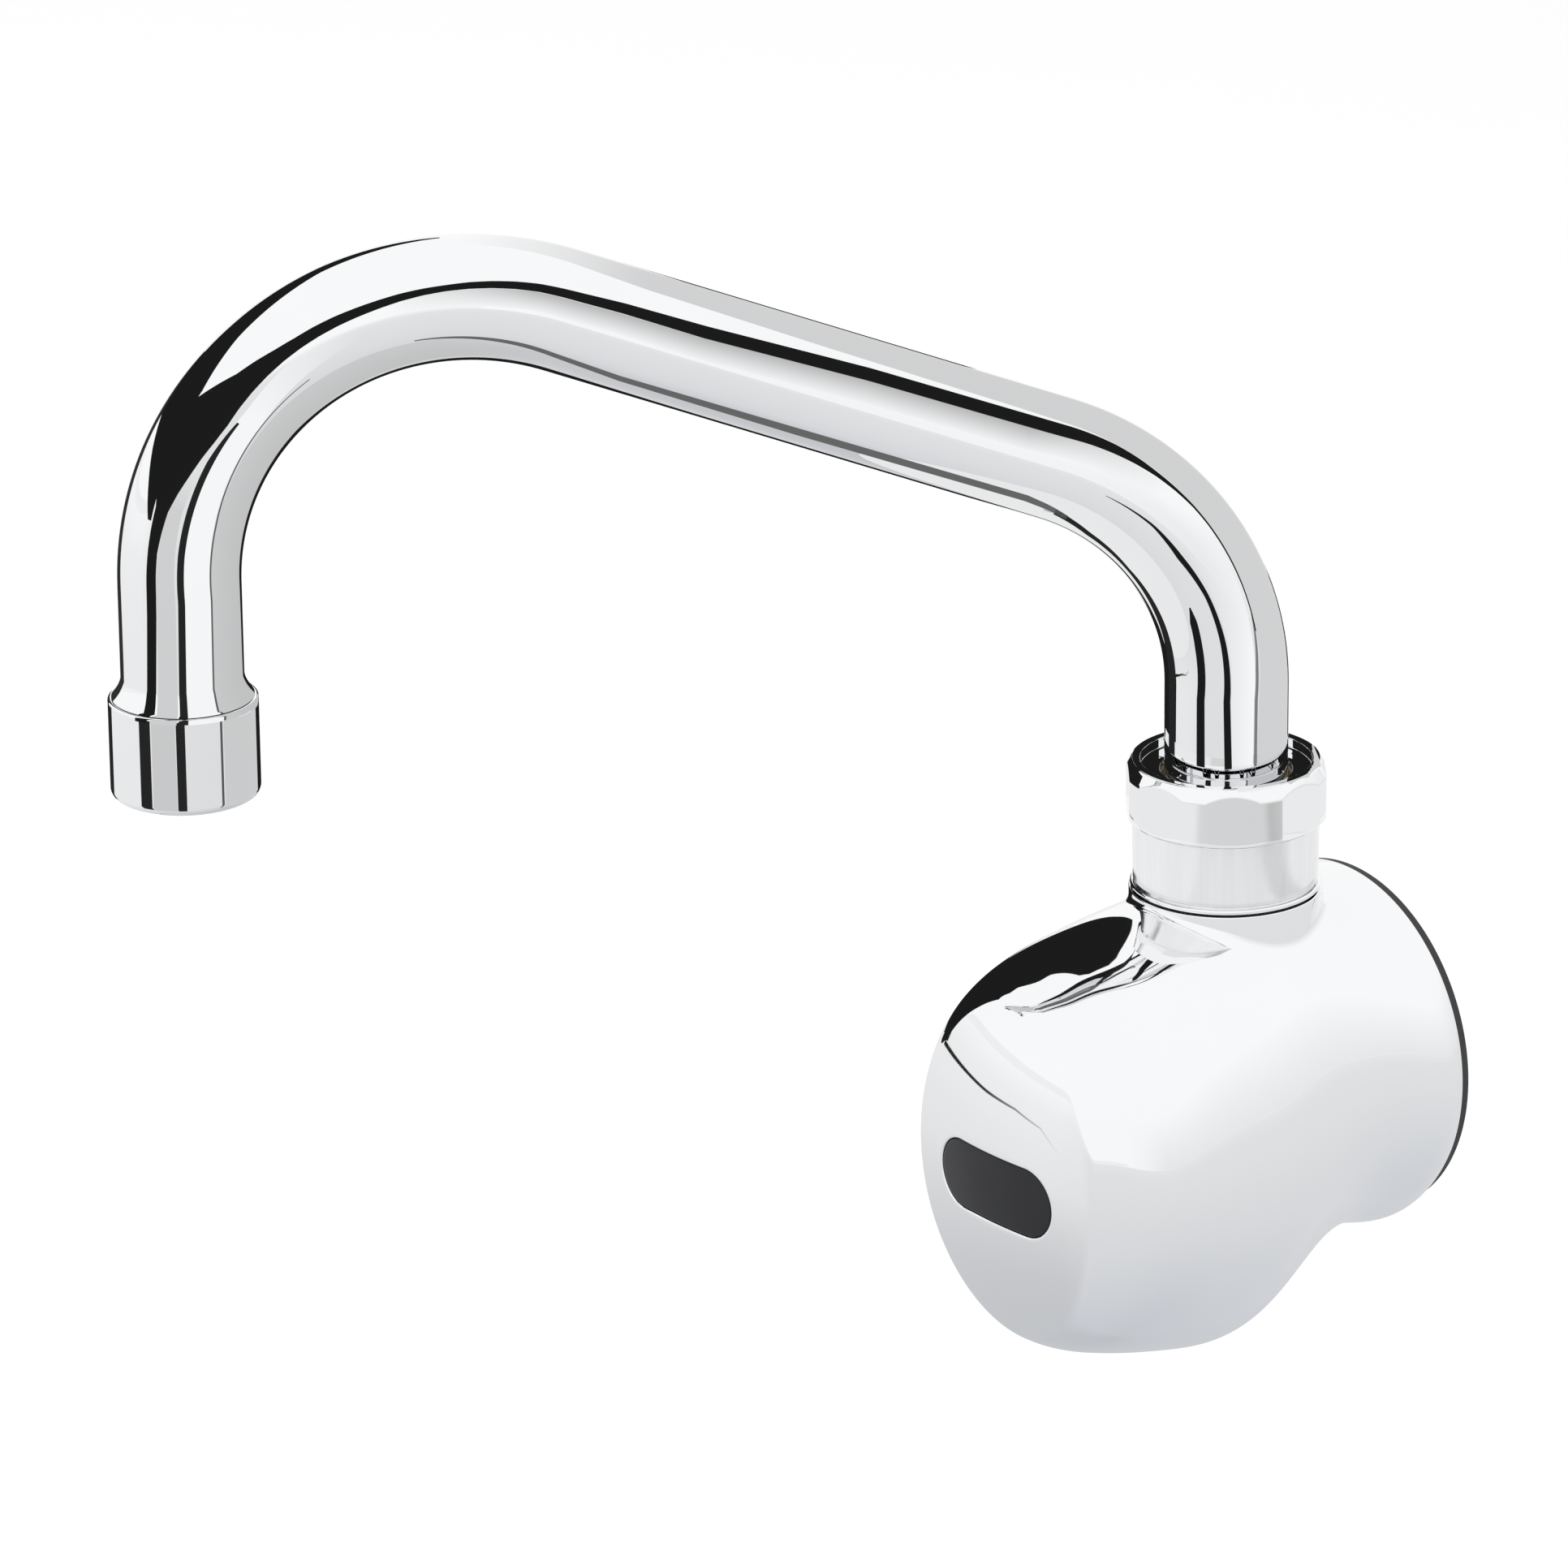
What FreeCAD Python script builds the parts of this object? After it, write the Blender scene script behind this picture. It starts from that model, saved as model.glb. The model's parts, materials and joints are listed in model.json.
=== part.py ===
"""Wall-mounted sensor tap with a swinging spout, in millimetres.

Frame: the origin is the centre of the wall face, where the inlet opens.  +Z is up and the tap
stands out of the wall towards -Y.  "Depth" is the distance from the wall, so depth 10 is y = -10.
The spout turns about the upright stem axis, which stands at depth stem_depth.
"""
import FreeCAD, Part
import math
import os
import re
import Sketcher

V = FreeCAD.Vector
doc = FreeCAD.newDocument("SensorTap")

# Where the curves of a sketch start, before its dimensions pull them into place
START_AWAY = 50.0
START_SPREAD = 20.0
START_RADIUS = 4.0
# An edge that stays this close to a circle or a dome lies on it
ON_CURVE = 0.02
# Points for one test of an edge, and points round one cross-section of the casting
EDGE_SAMPLES = 9
OVAL_POINTS = 16

# ---------------------------------------------------------------------------------------------
# Driving sizes: plain numbers, each written once
# ---------------------------------------------------------------------------------------------
DRIVING = [
    ("Body casting", None, None),
    ("flange_radius", 28.5, "round wall flange, outside"),
    ("body_depth", 73.3, "wall face to the front of the body"),
    ("waist_width", 25.6, "half width of the casting under the stem"),
    ("bulb_width", 29.0, "half width of the front bulb"),
    ("crown_height", 31.2, "top of the casting above the flange centre"),
    ("bulb_drop", 41.2, "lowest point of the bulb below the flange centre"),
    ("front_width", 22.7, "half width of the casting behind its front edge"),
    ("front_top", 21.4, "top of the casting behind its front edge"),
    ("front_drop", 33.2, "bottom of the casting behind its front edge"),
    ("face_dome", 78.0, "radius of the gently domed front face"),
    ("face_edge", 4.2, "rounding between the front face and the sides"),
    ("casting_wall", 3.2, "wall of the casting"),
    ("front_wall", 6.4, "wall behind the front face, at its middle"),
    ("corner_wall", 0.7, "extra wall round the front end of the hollow"),
    ("plate_ledge", 1.6, "ledge that the back plate rests on"),
    ("gasket_thick", 1.2, "wall gasket"),
    ("gasket_band", 4.2, "width of the wall gasket's ring"),
    ("gasket_inset", 0.2, "wall gasket inside the flange's edge"),
    ("Stem seat", None, None),
    ("stem_depth", 26.0, "wall face to the stem axis"),
    ("neck_radius", 15.1, "raised land under the spout adapter"),
    ("land_height", 31.3, "top of the land above the flange centre"),
    ("neck_blend", 0.8, "fillet between the land and the casting"),
    ("seat_wall", 4.2, "metal between the land and the seat for the elbow"),
    ("seal_thick", 0.3, "rubber seal under the base ring"),
    ("seal_radius", 13.9, "rubber seal, outside"),
    ("ring_thick", 0.75, "bright base ring"),
    ("ring_radius", 14.9, "bright base ring, outside"),
    ("adapter_radius", 14.6, "spout adapter, outside"),
    ("adapter_height", 9.85, "spout adapter's plain band"),
    ("adapter_undercut", 0.3, "step under the plain band"),
    ("adapter_draft", 0.15, "how much the plain band narrows downwards"),
    ("tail_radius", 10.4, "adapter's threaded tail"),
    ("tail_length", 17.0, "adapter's threaded tail below the land"),
    ("waterway_radius", 5.5, "water passage in the elbow and the adapter"),
    ("thread_radius", 13.2, "adapter's upper thread"),
    ("thread_height", 4.4, "adapter's upper thread"),
    ("socket_radius", 11.5, "adapter's socket for the stem"),
    ("socket_base", 1.4, "adapter's floor under the socket"),
    ("Swivel nut", None, None),
    ("nut_height", 9.8, "swivel nut"),
    ("nut_corner", 15.9, "radius of the nut's turned corners"),
    ("nut_flats", 30.6, "distance across two flats of the nut"),
    ("nut_turn", 31.3, "angle of the nut's flats about the stem, in degrees"),
    ("nut_chamfer", 1.2, "width of the nut's top chamfer"),
    ("nut_chamfer_height", 2.1, "height of the nut's top chamfer"),
    ("nut_foot", 0.9, "height of the nut's lower chamfer"),
    ("nut_rim", 1.3, "width of the nut's top rim"),
    ("nut_lip", 0.7, "thickness of the nut's inner lip"),
    ("nut_recess", 1.8, "depth of the recess above the lip"),
    ("lip_gap", 0.7, "gap between the nut's lip and the stem"),
    ("Spout", None, None),
    ("tube_radius", 9.6, "spout tube, outside"),
    ("tube_wall", 1.0, "spout tube"),
    ("reach", 161.4, "stem axis to outlet axis"),
    ("crest_height", 128.2, "highest point of the tube's axis above the flange centre"),
    ("rise_angle", 18.1, "slope of the straight run, in degrees"),
    ("near_bend", 38.4, "radius of the bend over the stem"),
    ("far_bend", 45.5, "radius of the bend over the outlet"),
    ("rest_swing", 37.6, "spout's turn to the left of straight out, in degrees"),
    ("flare_height", 3.6, "flare above the aerator"),
    ("flare_radius", 11.1, "flare's lower edge"),
    ("outlet_thread", 10.6, "radius of the thread at the outlet"),
    ("sleeve_flange_radius", 12.7, "flange of the brass stem sleeve"),
    ("sleeve_flange", 1.2, "thickness of that flange"),
    ("foot_gap", 0.5, "between the stem sleeve and the socket's floor"),
    ("stem_tail", 1.0, "sleeve below the end of the tube"),
    ("glide_thick", 0.6, "plastic glide ring"),
    ("cord_radius", 0.75, "section of the O-rings"),
    ("groove_width", 1.9, "O-ring grooves in the sleeve"),
    ("Aerator", None, None),
    ("collar_radius", 11.7, "aerator collar, outside"),
    ("collar_height", 16.0, "aerator collar"),
    ("collar_foot", 48.3, "bottom of the collar above the flange centre"),
    ("collar_round", 2.6, "rounding at the bottom of the collar"),
    ("collar_edge", 0.4, "rounding at the top of the collar"),
    ("collar_lip", 1.6, "lip under the aerator insert"),
    ("collar_mouth", 8.8, "radius of the opening in the lip"),
    ("insert_height", 3.6, "aerator insert"),
    ("insert_hole", 0.9, "radius of the insert's holes"),
    ("inner_holes", 3.7, "radius of the insert's inner ring of holes"),
    ("outer_holes", 7.4, "radius of the insert's outer ring of holes"),
    ("screen_thick", 0.4, "aerator screen"),
    ("screen_gap", 0.5, "distance between the two screens"),
    ("washer_thick", 1.4, "aerator washer"),
    ("washer_mouth", 7.6, "radius of the aerator washer's opening"),
    ("Waterway", None, None),
    ("elbow_radius", 12.8, "brass elbow, outside"),
    ("inlet_radius", 9.3, "female G1/2 thread, at its crests"),
    ("inlet_length", 13.0, "female G1/2 thread"),
    ("elbow_seal", 1.0, "fibre washer between the elbow and the casting"),
    ("inlet_washer", 2.0, "rubber washer beyond the thread"),
    ("inlet_seat", 8.9, "radius of the washer's seat beyond the thread"),
    ("inlet_mouth", 6.4, "radius of that washer's opening"),
    ("strainer_radius", 5.0, "strainer cup, outside"),
    ("strainer_wall", 0.5, "strainer cup"),
    ("strainer_length", 7.0, "strainer cup"),
    ("Back plate", None, None),
    ("plate_thick", 2.5, "back plate"),
    ("plate_screw_place", 20.3, "plate screws from the middle"),
    ("plate_screw_boss", 3.6, "radius of the screw bosses in the casting"),
    ("plate_screw_length", 9.0, "plate screws"),
    ("boss_floor", 1.0, "boss in front of the screw's hole"),
    ("grommet_place", 19.0, "cable grommet below the middle"),
    ("grommet_bore", 2.6, "cable hole"),
    ("grommet_radius", 4.0, "grommet in the plate's hole"),
    ("grommet_flange", 5.2, "grommet's flange in front of the plate"),
    ("grommet_flange_thick", 1.1, "that flange"),
    ("Sensor", None, None),
    ("window_place", 7.8, "middle of the window below the flange centre"),
    ("window_half", 13.3, "half length of the window"),
    ("window_radius", 5.6, "half height of the window"),
    ("window_step", 1.4, "ledge around the window, behind the wall"),
    ("window_flange", 1.2, "thickness of that ledge"),
    ("window_gasket", 0.5, "rubber behind the front wall"),
    ("window_inset", 0.15, "window's face behind the metal"),
    ("housing_half", 15.6, "half width of the sensor housing"),
    ("housing_rise", 7.2, "half height of the sensor housing"),
    ("housing_depth", 12.5, "sensor housing, front to back"),
    ("housing_wall", 1.4, "sensor housing"),
    ("tab_reach", 13.6, "screw tabs, above and below the housing's middle"),
    ("tab_half", 3.6, "half width of the screw tabs"),
    ("tab_thick", 2.0, "screw tabs"),
    ("tab_screw", 10.4, "screws above and below the housing's middle"),
    ("cover_thick", 1.4, "rear cover of the housing"),
    ("lead_hole", 2.0, "radius of the cover's hole for the lead"),
    ("board_thick", 1.2, "circuit board"),
    ("board_back", 5.5, "circuit board in front of the rear cover"),
    ("diode_radius", 2.5, "infrared diodes"),
    ("diode_place", 6.5, "infrared diodes from the middle"),
    ("diode_length", 5.2, "infrared diodes"),
    ("screw_radius", 1.5, "M3 screws"),
    ("screw_head", 2.75, "M3 screw heads"),
    ("screw_head_height", 1.8, "M3 pan heads"),
    ("screw_length", 6.0, "sensor screws"),
    ("Clearances", None, None),
    ("running_gap", 0.06, "between turning faces"),
    ("fit_gap", 0.05, "between fixed parts that slide together"),
    ("cut_over", 2.0, "how far a cut runs past what it opens"),
]

# Worked-out places: formulas of the driving sizes, so they follow any change
DERIVED = [
    ("seal_top", "Sizes.land_height + Sizes.seal_thick"),
    ("ring_top", "seal_top + Sizes.ring_thick"),
    ("band_foot", "ring_top + Sizes.adapter_undercut"),
    ("band_top", "band_foot + Sizes.adapter_height"),
    ("thread_top", "band_top + Sizes.thread_height"),
    ("socket_floor", "ring_top + Sizes.socket_base"),
    ("tail_foot", "Sizes.land_height - Sizes.tail_length"),
    ("nut_base", "band_top + Sizes.fit_gap"),
    ("nut_top", "nut_base + Sizes.nut_height"),
    ("nut_bore", "Sizes.thread_radius + Sizes.fit_gap"),
    ("nut_lip_top", "nut_top - Sizes.nut_recess"),
    ("nut_lip_foot", "nut_lip_top - Sizes.nut_lip"),
    ("nut_mouth", "Sizes.nut_corner - Sizes.nut_chamfer - Sizes.nut_rim"),
    ("glide_foot", "thread_top + Sizes.running_gap"),
    ("flange_foot", "glide_foot + Sizes.glide_thick + Sizes.running_gap"),
    ("flange_top", "flange_foot + Sizes.sleeve_flange"),
    ("top_glide_foot", "flange_top + Sizes.running_gap"),
    ("sleeve_radius", "Sizes.socket_radius - Sizes.running_gap"),
    ("ring_outside", "Sizes.socket_radius - Sizes.running_gap / 2"),
    ("groove_floor", "ring_outside - 2 * Sizes.cord_radius - Sizes.fit_gap"),
    ("sleeve_foot", "socket_floor + Sizes.foot_gap"),
    ("sleeve_length", "flange_foot - sleeve_foot"),
    ("stem_foot", "sleeve_foot + Sizes.stem_tail"),
    ("tube_bore", "Sizes.tube_radius - Sizes.tube_wall"),
    ("collar_top", "Sizes.collar_foot + Sizes.collar_height"),
    ("flare_foot", "collar_top + Sizes.fit_gap"),
    ("collar_bore", "Sizes.outlet_thread + Sizes.fit_gap"),
    ("lip_top", "Sizes.collar_foot + Sizes.collar_lip"),
    ("insert_foot", "lip_top + 2 * Sizes.screen_thick + Sizes.screen_gap"),
    ("washer_foot", "insert_foot + Sizes.insert_height + Sizes.fit_gap"),
    ("outlet_foot", "washer_foot + Sizes.washer_thick"),
    ("heading", "270 - Sizes.rest_swing"),
    ("outlet_x", "Sizes.reach * cos(heading)"),
    ("outlet_y", "-Sizes.stem_depth + Sizes.reach * sin(heading)"),
    ("plate_front", "Sizes.gasket_thick + Sizes.plate_thick"),
    ("plate_radius", "Sizes.flange_radius - Sizes.casting_wall"),
    ("disc_radius", "Sizes.outlet_thread - 2 * Sizes.fit_gap"),
    ("seat_top", "Sizes.land_height - Sizes.seat_wall"),
    ("elbow_top", "seat_top - Sizes.elbow_seal"),
    ("chamber_end", "Sizes.body_depth - Sizes.front_wall"),
    ("housing_front", "chamber_end - Sizes.window_gasket - Sizes.window_flange"),
    ("housing_back", "housing_front - Sizes.housing_depth"),
    ("board_rear", "housing_back + Sizes.board_back"),
    ("board_front", "board_rear + Sizes.board_thick"),
]


def fill_sizes():
    """Write the driving sizes, plain numbers, with their aliases."""
    sheet = doc.addObject("Spreadsheet::Sheet", "Sizes")
    for row, (alias, value, note) in enumerate(DRIVING, start=1):
        sheet.set("A%d" % row, alias)
        if value is None:
            continue
        sheet.set("B%d" % row, str(value))
        sheet.set("C%d" % row, note)
        sheet.setAlias("B%d" % row, alias)
    return sheet


def fill_places():
    """Write the places that follow from the driving sizes."""
    sheet = doc.addObject("Spreadsheet::Sheet", "Places")
    for row, (alias, formula) in enumerate(DERIVED, start=1):
        sheet.set("A%d" % row, alias)
        sheet.set("B%d" % row, "=" + formula)
        sheet.setAlias("B%d" % row, alias)
    return sheet


sizes = fill_sizes()
doc.recompute()
places = fill_places()
doc.recompute()
DRIVING_NAMES = [alias for alias, value, note in DRIVING if value is not None]
PLACE_NAMES = [alias for alias, formula in DERIVED]


def size(alias):
    """The number that a named size or place holds now."""
    if alias in DRIVING_NAMES:
        return float(sizes.get(alias))
    return float(places.get(alias))


def formula(text):
    """Put each name of a short formula on its sheet: "reach + 1" becomes "Sizes.reach + 1"."""
    def on_sheet(match):
        word = match.group(0)
        if word in DRIVING_NAMES:
            return "Sizes." + word
        if word in PLACE_NAMES:
            return "Places." + word
        return word
    return re.sub("[a-z_][a-z_0-9]*", on_sheet, text)


def bind(thing, **formulas):
    """Bind properties of an object to formulas; a dot in a property is written as two underscores."""
    for name, text in formulas.items():
        thing.setExpression(name.replace("__", "."), formula(text))


# ---------------------------------------------------------------------------------------------
# Helpers for bodies and sketches
# ---------------------------------------------------------------------------------------------
def place_on_stem(thing):
    """Stand a piece on the stem axis."""
    bind(thing, Placement__Base__y="-stem_depth")


def place_on_outlet(thing):
    """Stand a piece on the outlet axis."""
    bind(thing, Placement__Base__x="outlet_x", Placement__Base__y="outlet_y")


def face_front(thing):
    """Lay a piece down, so that its own +Z is depth from the wall and its own +Y is up."""
    thing.Placement = FreeCAD.Placement(V(0, 0, 0), FreeCAD.Rotation(V(1, 0, 0), 90))


def new_body(label):
    body = doc.addObject("PartDesign::Body", label)
    body.Label = label
    return body


def new_sketch(body, role, height=None):
    """A sketch on one of the body's own origin planes, raised by a formula."""
    sketch = body.newObject("Sketcher::SketchObject", body.Label + "_sketch")
    plane = [feature for feature in body.Origin.OriginFeatures if feature.Role == role][0]
    sketch.AttachmentSupport = [(plane, "")]
    sketch.MapMode = "FlatFace"
    if height is not None:
        bind(sketch, AttachmentOffset__Base__z=height)
    return sketch


def add_dimension(sketch, constraint, text):
    """Add a dimension and bind it to a formula."""
    index = sketch.addConstraint(constraint)
    sketch.setExpression("Constraints[%d]" % index, formula(text))


def draw_outline(sketch, corners):
    """A closed outline of straight lines; each corner is a pair of formulas."""
    count = len(corners)
    turns = [2 * math.pi * k / count for k in range(count)]
    start = [V(START_AWAY + START_SPREAD * math.cos(turn),
               START_AWAY + START_SPREAD * math.sin(turn), 0) for turn in turns]
    first = sketch.GeometryCount
    for k in range(count):
        sketch.addGeometry(Part.LineSegment(start[k], start[(k + 1) % count]), False)
    for k in range(count):
        following = first + (k + 1) % count
        sketch.addConstraint(Sketcher.Constraint("Coincident", first + k, 2, following, 1))
    for k, (across, along) in enumerate(corners):
        line = first + k
        add_dimension(sketch, Sketcher.Constraint("DistanceX", -1, 1, line, 1, start[k].x), across)
        add_dimension(sketch, Sketcher.Constraint("DistanceY", -1, 1, line, 1, start[k].y), along)


def draw_circle(sketch, radius, across="0", along="0"):
    """A circle with its radius and centre bound to formulas."""
    middle = V(START_SPREAD, START_SPREAD, 0)
    circle = sketch.addGeometry(Part.Circle(middle, V(0, 0, 1), START_RADIUS), False)
    add_dimension(sketch, Sketcher.Constraint("DistanceX", -1, 1, circle, 3, middle.x), across)
    add_dimension(sketch, Sketcher.Constraint("DistanceY", -1, 1, circle, 3, middle.y), along)
    add_dimension(sketch, Sketcher.Constraint("Radius", circle, START_RADIUS), radius)


def draw_slot(sketch, half_length, radius, along):
    """A level slot, half_length to each side of the middle, with round ends of the given radius."""
    start = START_SPREAD
    up = V(0, 0, 1)
    quarter = math.pi / 2
    round_right = Part.Circle(V(start, start, 0), up, START_RADIUS)
    round_left = Part.Circle(V(-start, start, 0), up, START_RADIUS)
    high = start + START_RADIUS
    low = start - START_RADIUS
    right = sketch.addGeometry(Part.ArcOfCircle(round_right, -quarter, quarter))
    left = sketch.addGeometry(Part.ArcOfCircle(round_left, quarter, 3 * quarter))
    top = sketch.addGeometry(Part.LineSegment(V(start, high, 0), V(-start, high, 0)))
    foot = sketch.addGeometry(Part.LineSegment(V(-start, low, 0), V(start, low, 0)))
    for end, line, tip in ((2, top, 1), (1, foot, 2)):
        sketch.addConstraint(Sketcher.Constraint("Tangent", right, end, line, tip))
    for end, line, tip in ((1, top, 2), (2, foot, 1)):
        sketch.addConstraint(Sketcher.Constraint("Tangent", left, end, line, tip))
    sketch.addConstraint(Sketcher.Constraint("Horizontal", top))
    sketch.addConstraint(Sketcher.Constraint("Equal", left, right))
    add_dimension(sketch, Sketcher.Constraint("DistanceY", -1, 1, right, 3, start), along)
    ends = "%s - ( %s )" % (half_length, radius)
    add_dimension(sketch, Sketcher.Constraint("DistanceX", -1, 1, right, 3, start), ends)
    add_dimension(sketch, Sketcher.Constraint("DistanceX", left, 3, -1, 1, start), ends)
    add_dimension(sketch, Sketcher.Constraint("Radius", right, START_RADIUS), radius)


def pad(body, sketch, length):
    feature = body.newObject("PartDesign::Pad", body.Label + "_pad")
    feature.Profile = sketch
    bind(feature, Length=length)
    sketch.Visibility = False
    return feature


def pocket(body, sketch, length, reverse=False):
    feature = body.newObject("PartDesign::Pocket", body.Label + "_pocket")
    feature.Profile = sketch
    feature.Reversed = reverse
    bind(feature, Length=length)
    return feature


def turned(label, corners):
    """A piece turned about its own Z axis; each corner is (radius, height)."""
    body = new_body(label)
    sketch = new_sketch(body, "XZ_Plane")
    draw_outline(sketch, corners)
    feature = body.newObject("PartDesign::Revolution", label + "_turned")
    feature.Profile = sketch
    feature.ReferenceAxis = (sketch, ["V_Axis"])
    feature.Angle = 360
    body.Tip = feature
    return body


def turned_ring(label, inner, outer, foot, top):
    return turned(label, [(inner, foot), (outer, foot), (outer, top), (inner, top)])


def slot_plate(label, half_length, radius, foot, thick, inner=None):
    """A plate of slot outline that faces the front, with an optional slot-shaped opening."""
    body = new_body(label)
    sketch = new_sketch(body, "XY_Plane", foot)
    draw_slot(sketch, half_length, radius, "-window_place")
    if inner is not None:
        draw_slot(sketch, inner[0], inner[1], "-window_place")
    pad(body, sketch, thick)
    face_front(body)
    return body


def named_edges(shape, wanted):
    """Numbers of the edges, from 1, whose every sample point passes the test."""
    numbers = []
    for number, edge in enumerate(shape.Edges, start=1):
        points = edge.discretize(EDGE_SAMPLES)
        if all(wanted(point) for point in points):
            numbers.append(number)
    return numbers


def round_edges(body, base, wanted, radius):
    """Round the edges of a body's feature that pass the test."""
    doc.recompute()
    feature = body.newObject("PartDesign::Fillet", body.Label + "_round")
    feature.Base = (base, ["Edge%d" % number for number in named_edges(base.Shape, wanted)])
    bind(feature, Radius=radius)
    body.Tip = feature
    return feature


def circle_test(radius, height):
    """A test for edges on one circle about the body's own Z axis."""
    def wanted(point):
        off_circle = abs(math.hypot(point.x, point.y) - radius)
        return off_circle < ON_CURVE and abs(point.z - height) < ON_CURVE
    return wanted


def cut(label, base, tools):
    """The base less each tool in turn; the last cut carries the label."""
    for number, tool in enumerate(tools, start=1):
        feature = doc.addObject("Part::Cut", "%s_cut_%d" % (label, number))
        feature.Base = base
        feature.Tool = tool
        base = feature
    return base


def group(label, pieces):
    """Like pieces that share one node."""
    together = doc.addObject("Part::Compound", label)
    together.Links = pieces
    return together


def cylinder(label, radius, length):
    feature = doc.addObject("Part::Cylinder", label)
    bind(feature, Radius=radius, Height=length)
    return feature


# ---------------------------------------------------------------------------------------------
# Body casting
# ---------------------------------------------------------------------------------------------
def between(near, far, share):
    """The value that lies this share of the way from near to far."""
    return near + share * (far - near)


def casting_sections():
    """The casting's cross-sections from the wall to its front: (depth, half width, top, drop).

    They run from the round flange over the waist under the stem to the drooping bulb, and close in
    towards the front; the last one lies in front of the dome that trims the casting.
    """
    flange = size("flange_radius")
    waist = size("waist_width")
    bulb = size("bulb_width")
    crown = size("crown_height")
    drop = size("bulb_drop")
    front = size("body_depth")
    stem = size("stem_depth")
    rear = size("gasket_thick")
    front_width = size("front_width")
    front_top = size("front_top")
    front_drop = size("front_drop")
    return [
        (rear, flange, flange, flange),
        (between(rear, stem, 0.36), between(flange, waist, 0.55), between(flange, crown, 0.6),
         between(flange, drop, 0.05)),
        (between(rear, stem, 0.76), waist, crown, between(flange, drop, 0.33)),
        (between(stem, front, 0.14), between(waist, bulb, 0.65), crown, drop),
        (between(stem, front, 0.41), bulb, between(crown, front_top, 0.15), drop),
        (between(stem, front, 0.69), bulb, between(crown, front_top, 0.51),
         between(drop, front_drop, 0.41)),
        (between(stem, front, 0.9), front_width, front_top, front_drop),
        (between(stem, front, 1.03), 0.72 * front_width, 0.7 * front_top, 0.82 * front_drop),
    ]


def oval(depth, half_width, top, drop):
    """An oval wire across the casting: a smooth closed curve that starts at its lowest point."""
    points = []
    for number in range(OVAL_POINTS):
        angle = 2 * math.pi * number / OVAL_POINTS - math.pi / 2
        points.append(V(half_width * math.cos(angle), -depth,
                        (top - drop) / 2 + (top + drop) / 2 * math.sin(angle)))
    curve = Part.BSplineCurve()
    curve.interpolate(points, PeriodicFlag=True)
    return Part.Wire(curve.toShape())


def casting_outside():
    """The outer form, closed at the front."""
    feature = doc.addObject("Part::Feature", "casting_outside")
    wires = [oval(*section) for section in casting_sections()]
    feature.Shape = Part.makeLoft(wires, True, False)
    return feature


def casting_chamber():
    """The hollow inside the casting: the outer sections less the wall, from the plate's ledge."""
    wall = size("casting_wall")
    shrunk = [(depth, width - wall, top - wall, drop - wall)
              for depth, width, top, drop in casting_sections()[:-1]]
    end = size("chamber_end")
    corner = size("corner_wall")
    inside = [section for section in shrunk if section[0] < end - size("casting_wall")]
    last_width, last_top, last_drop = shrunk[-1][1:]
    inside.append((end, last_width - corner, last_top - corner, last_drop - corner))
    depth, width, top, drop = inside[0]
    ledge = size("plate_ledge")
    inside[0] = (depth - size("fit_gap"), width - ledge, top - ledge, drop - ledge)
    feature = doc.addObject("Part::Feature", "casting_chamber")
    wires = [oval(*section) for section in inside]
    feature.Shape = Part.makeLoft(wires, True, False)
    return feature


def domed_front(label, base, radius):
    """What the front dome leaves of a piece; all domes here share one centre."""
    dome = doc.addObject("Part::Sphere", label + "_dome")
    bind(dome, Radius=radius, Placement__Base__y="face_dome - body_depth",
         Placement__Base__z="( front_top - front_drop ) / 2")
    trimmed = doc.addObject("Part::Common", label + "_domed")
    trimmed.Base = base
    trimmed.Tool = dome
    doc.recompute()
    return trimmed, dome.Placement.Base


def rounded(label, base, wanted, alias):
    """A piece with the edges that pass the test rounded by a named size."""
    feature = doc.addObject("Part::Fillet", label)
    feature.Base = base
    radius = size(alias)
    feature.Edges = [(number, radius, radius) for number in named_edges(base.Shape, wanted)]
    return feature


def stem_cylinder(label, radius, top):
    """A cylinder on the stem axis, from the level of the flange's centre up to a height."""
    feature = cylinder(label, radius, top)
    place_on_stem(feature)
    return feature


def casting_solid(outside):
    """The casting before it is hollowed: domed front with a soft edge, and the stem's land."""
    domed, dome_centre = domed_front("casting", outside, "face_dome")

    def on_dome(point):
        return abs(point.distanceToPoint(dome_centre) - size("face_dome")) < ON_CURVE

    def around_neck(point):
        away = math.hypot(point.x, point.y + size("stem_depth"))
        below_top = point.z < size("land_height") - ON_CURVE
        return abs(away - size("neck_radius")) < ON_CURVE and below_top

    soft = rounded("casting_soft", domed, on_dome, "face_edge")
    necked = doc.addObject("Part::Fuse", "casting_necked")
    necked.Base = soft
    necked.Tool = stem_cylinder("casting_neck", "neck_radius", "land_height")
    doc.recompute()
    return rounded("casting_blend", necked, around_neck, "neck_blend")


def round_holes(label, foot, length, radius, centres):
    """Round pegs that face the front, for cutting holes or as bosses; centres are formula pairs."""
    body = new_body(label)
    sketch = new_sketch(body, "XY_Plane", foot)
    for across, along in centres:
        draw_circle(sketch, radius, across, along)
    pad(body, sketch, length)
    face_front(body)
    return body


def plate_screw_centres():
    return [(side + "plate_screw_place", "0") for side in ("", "-")]


def tab_screw_centres():
    return [("0", "-window_place %s tab_screw" % side) for side in ("+", "-")]


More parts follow.
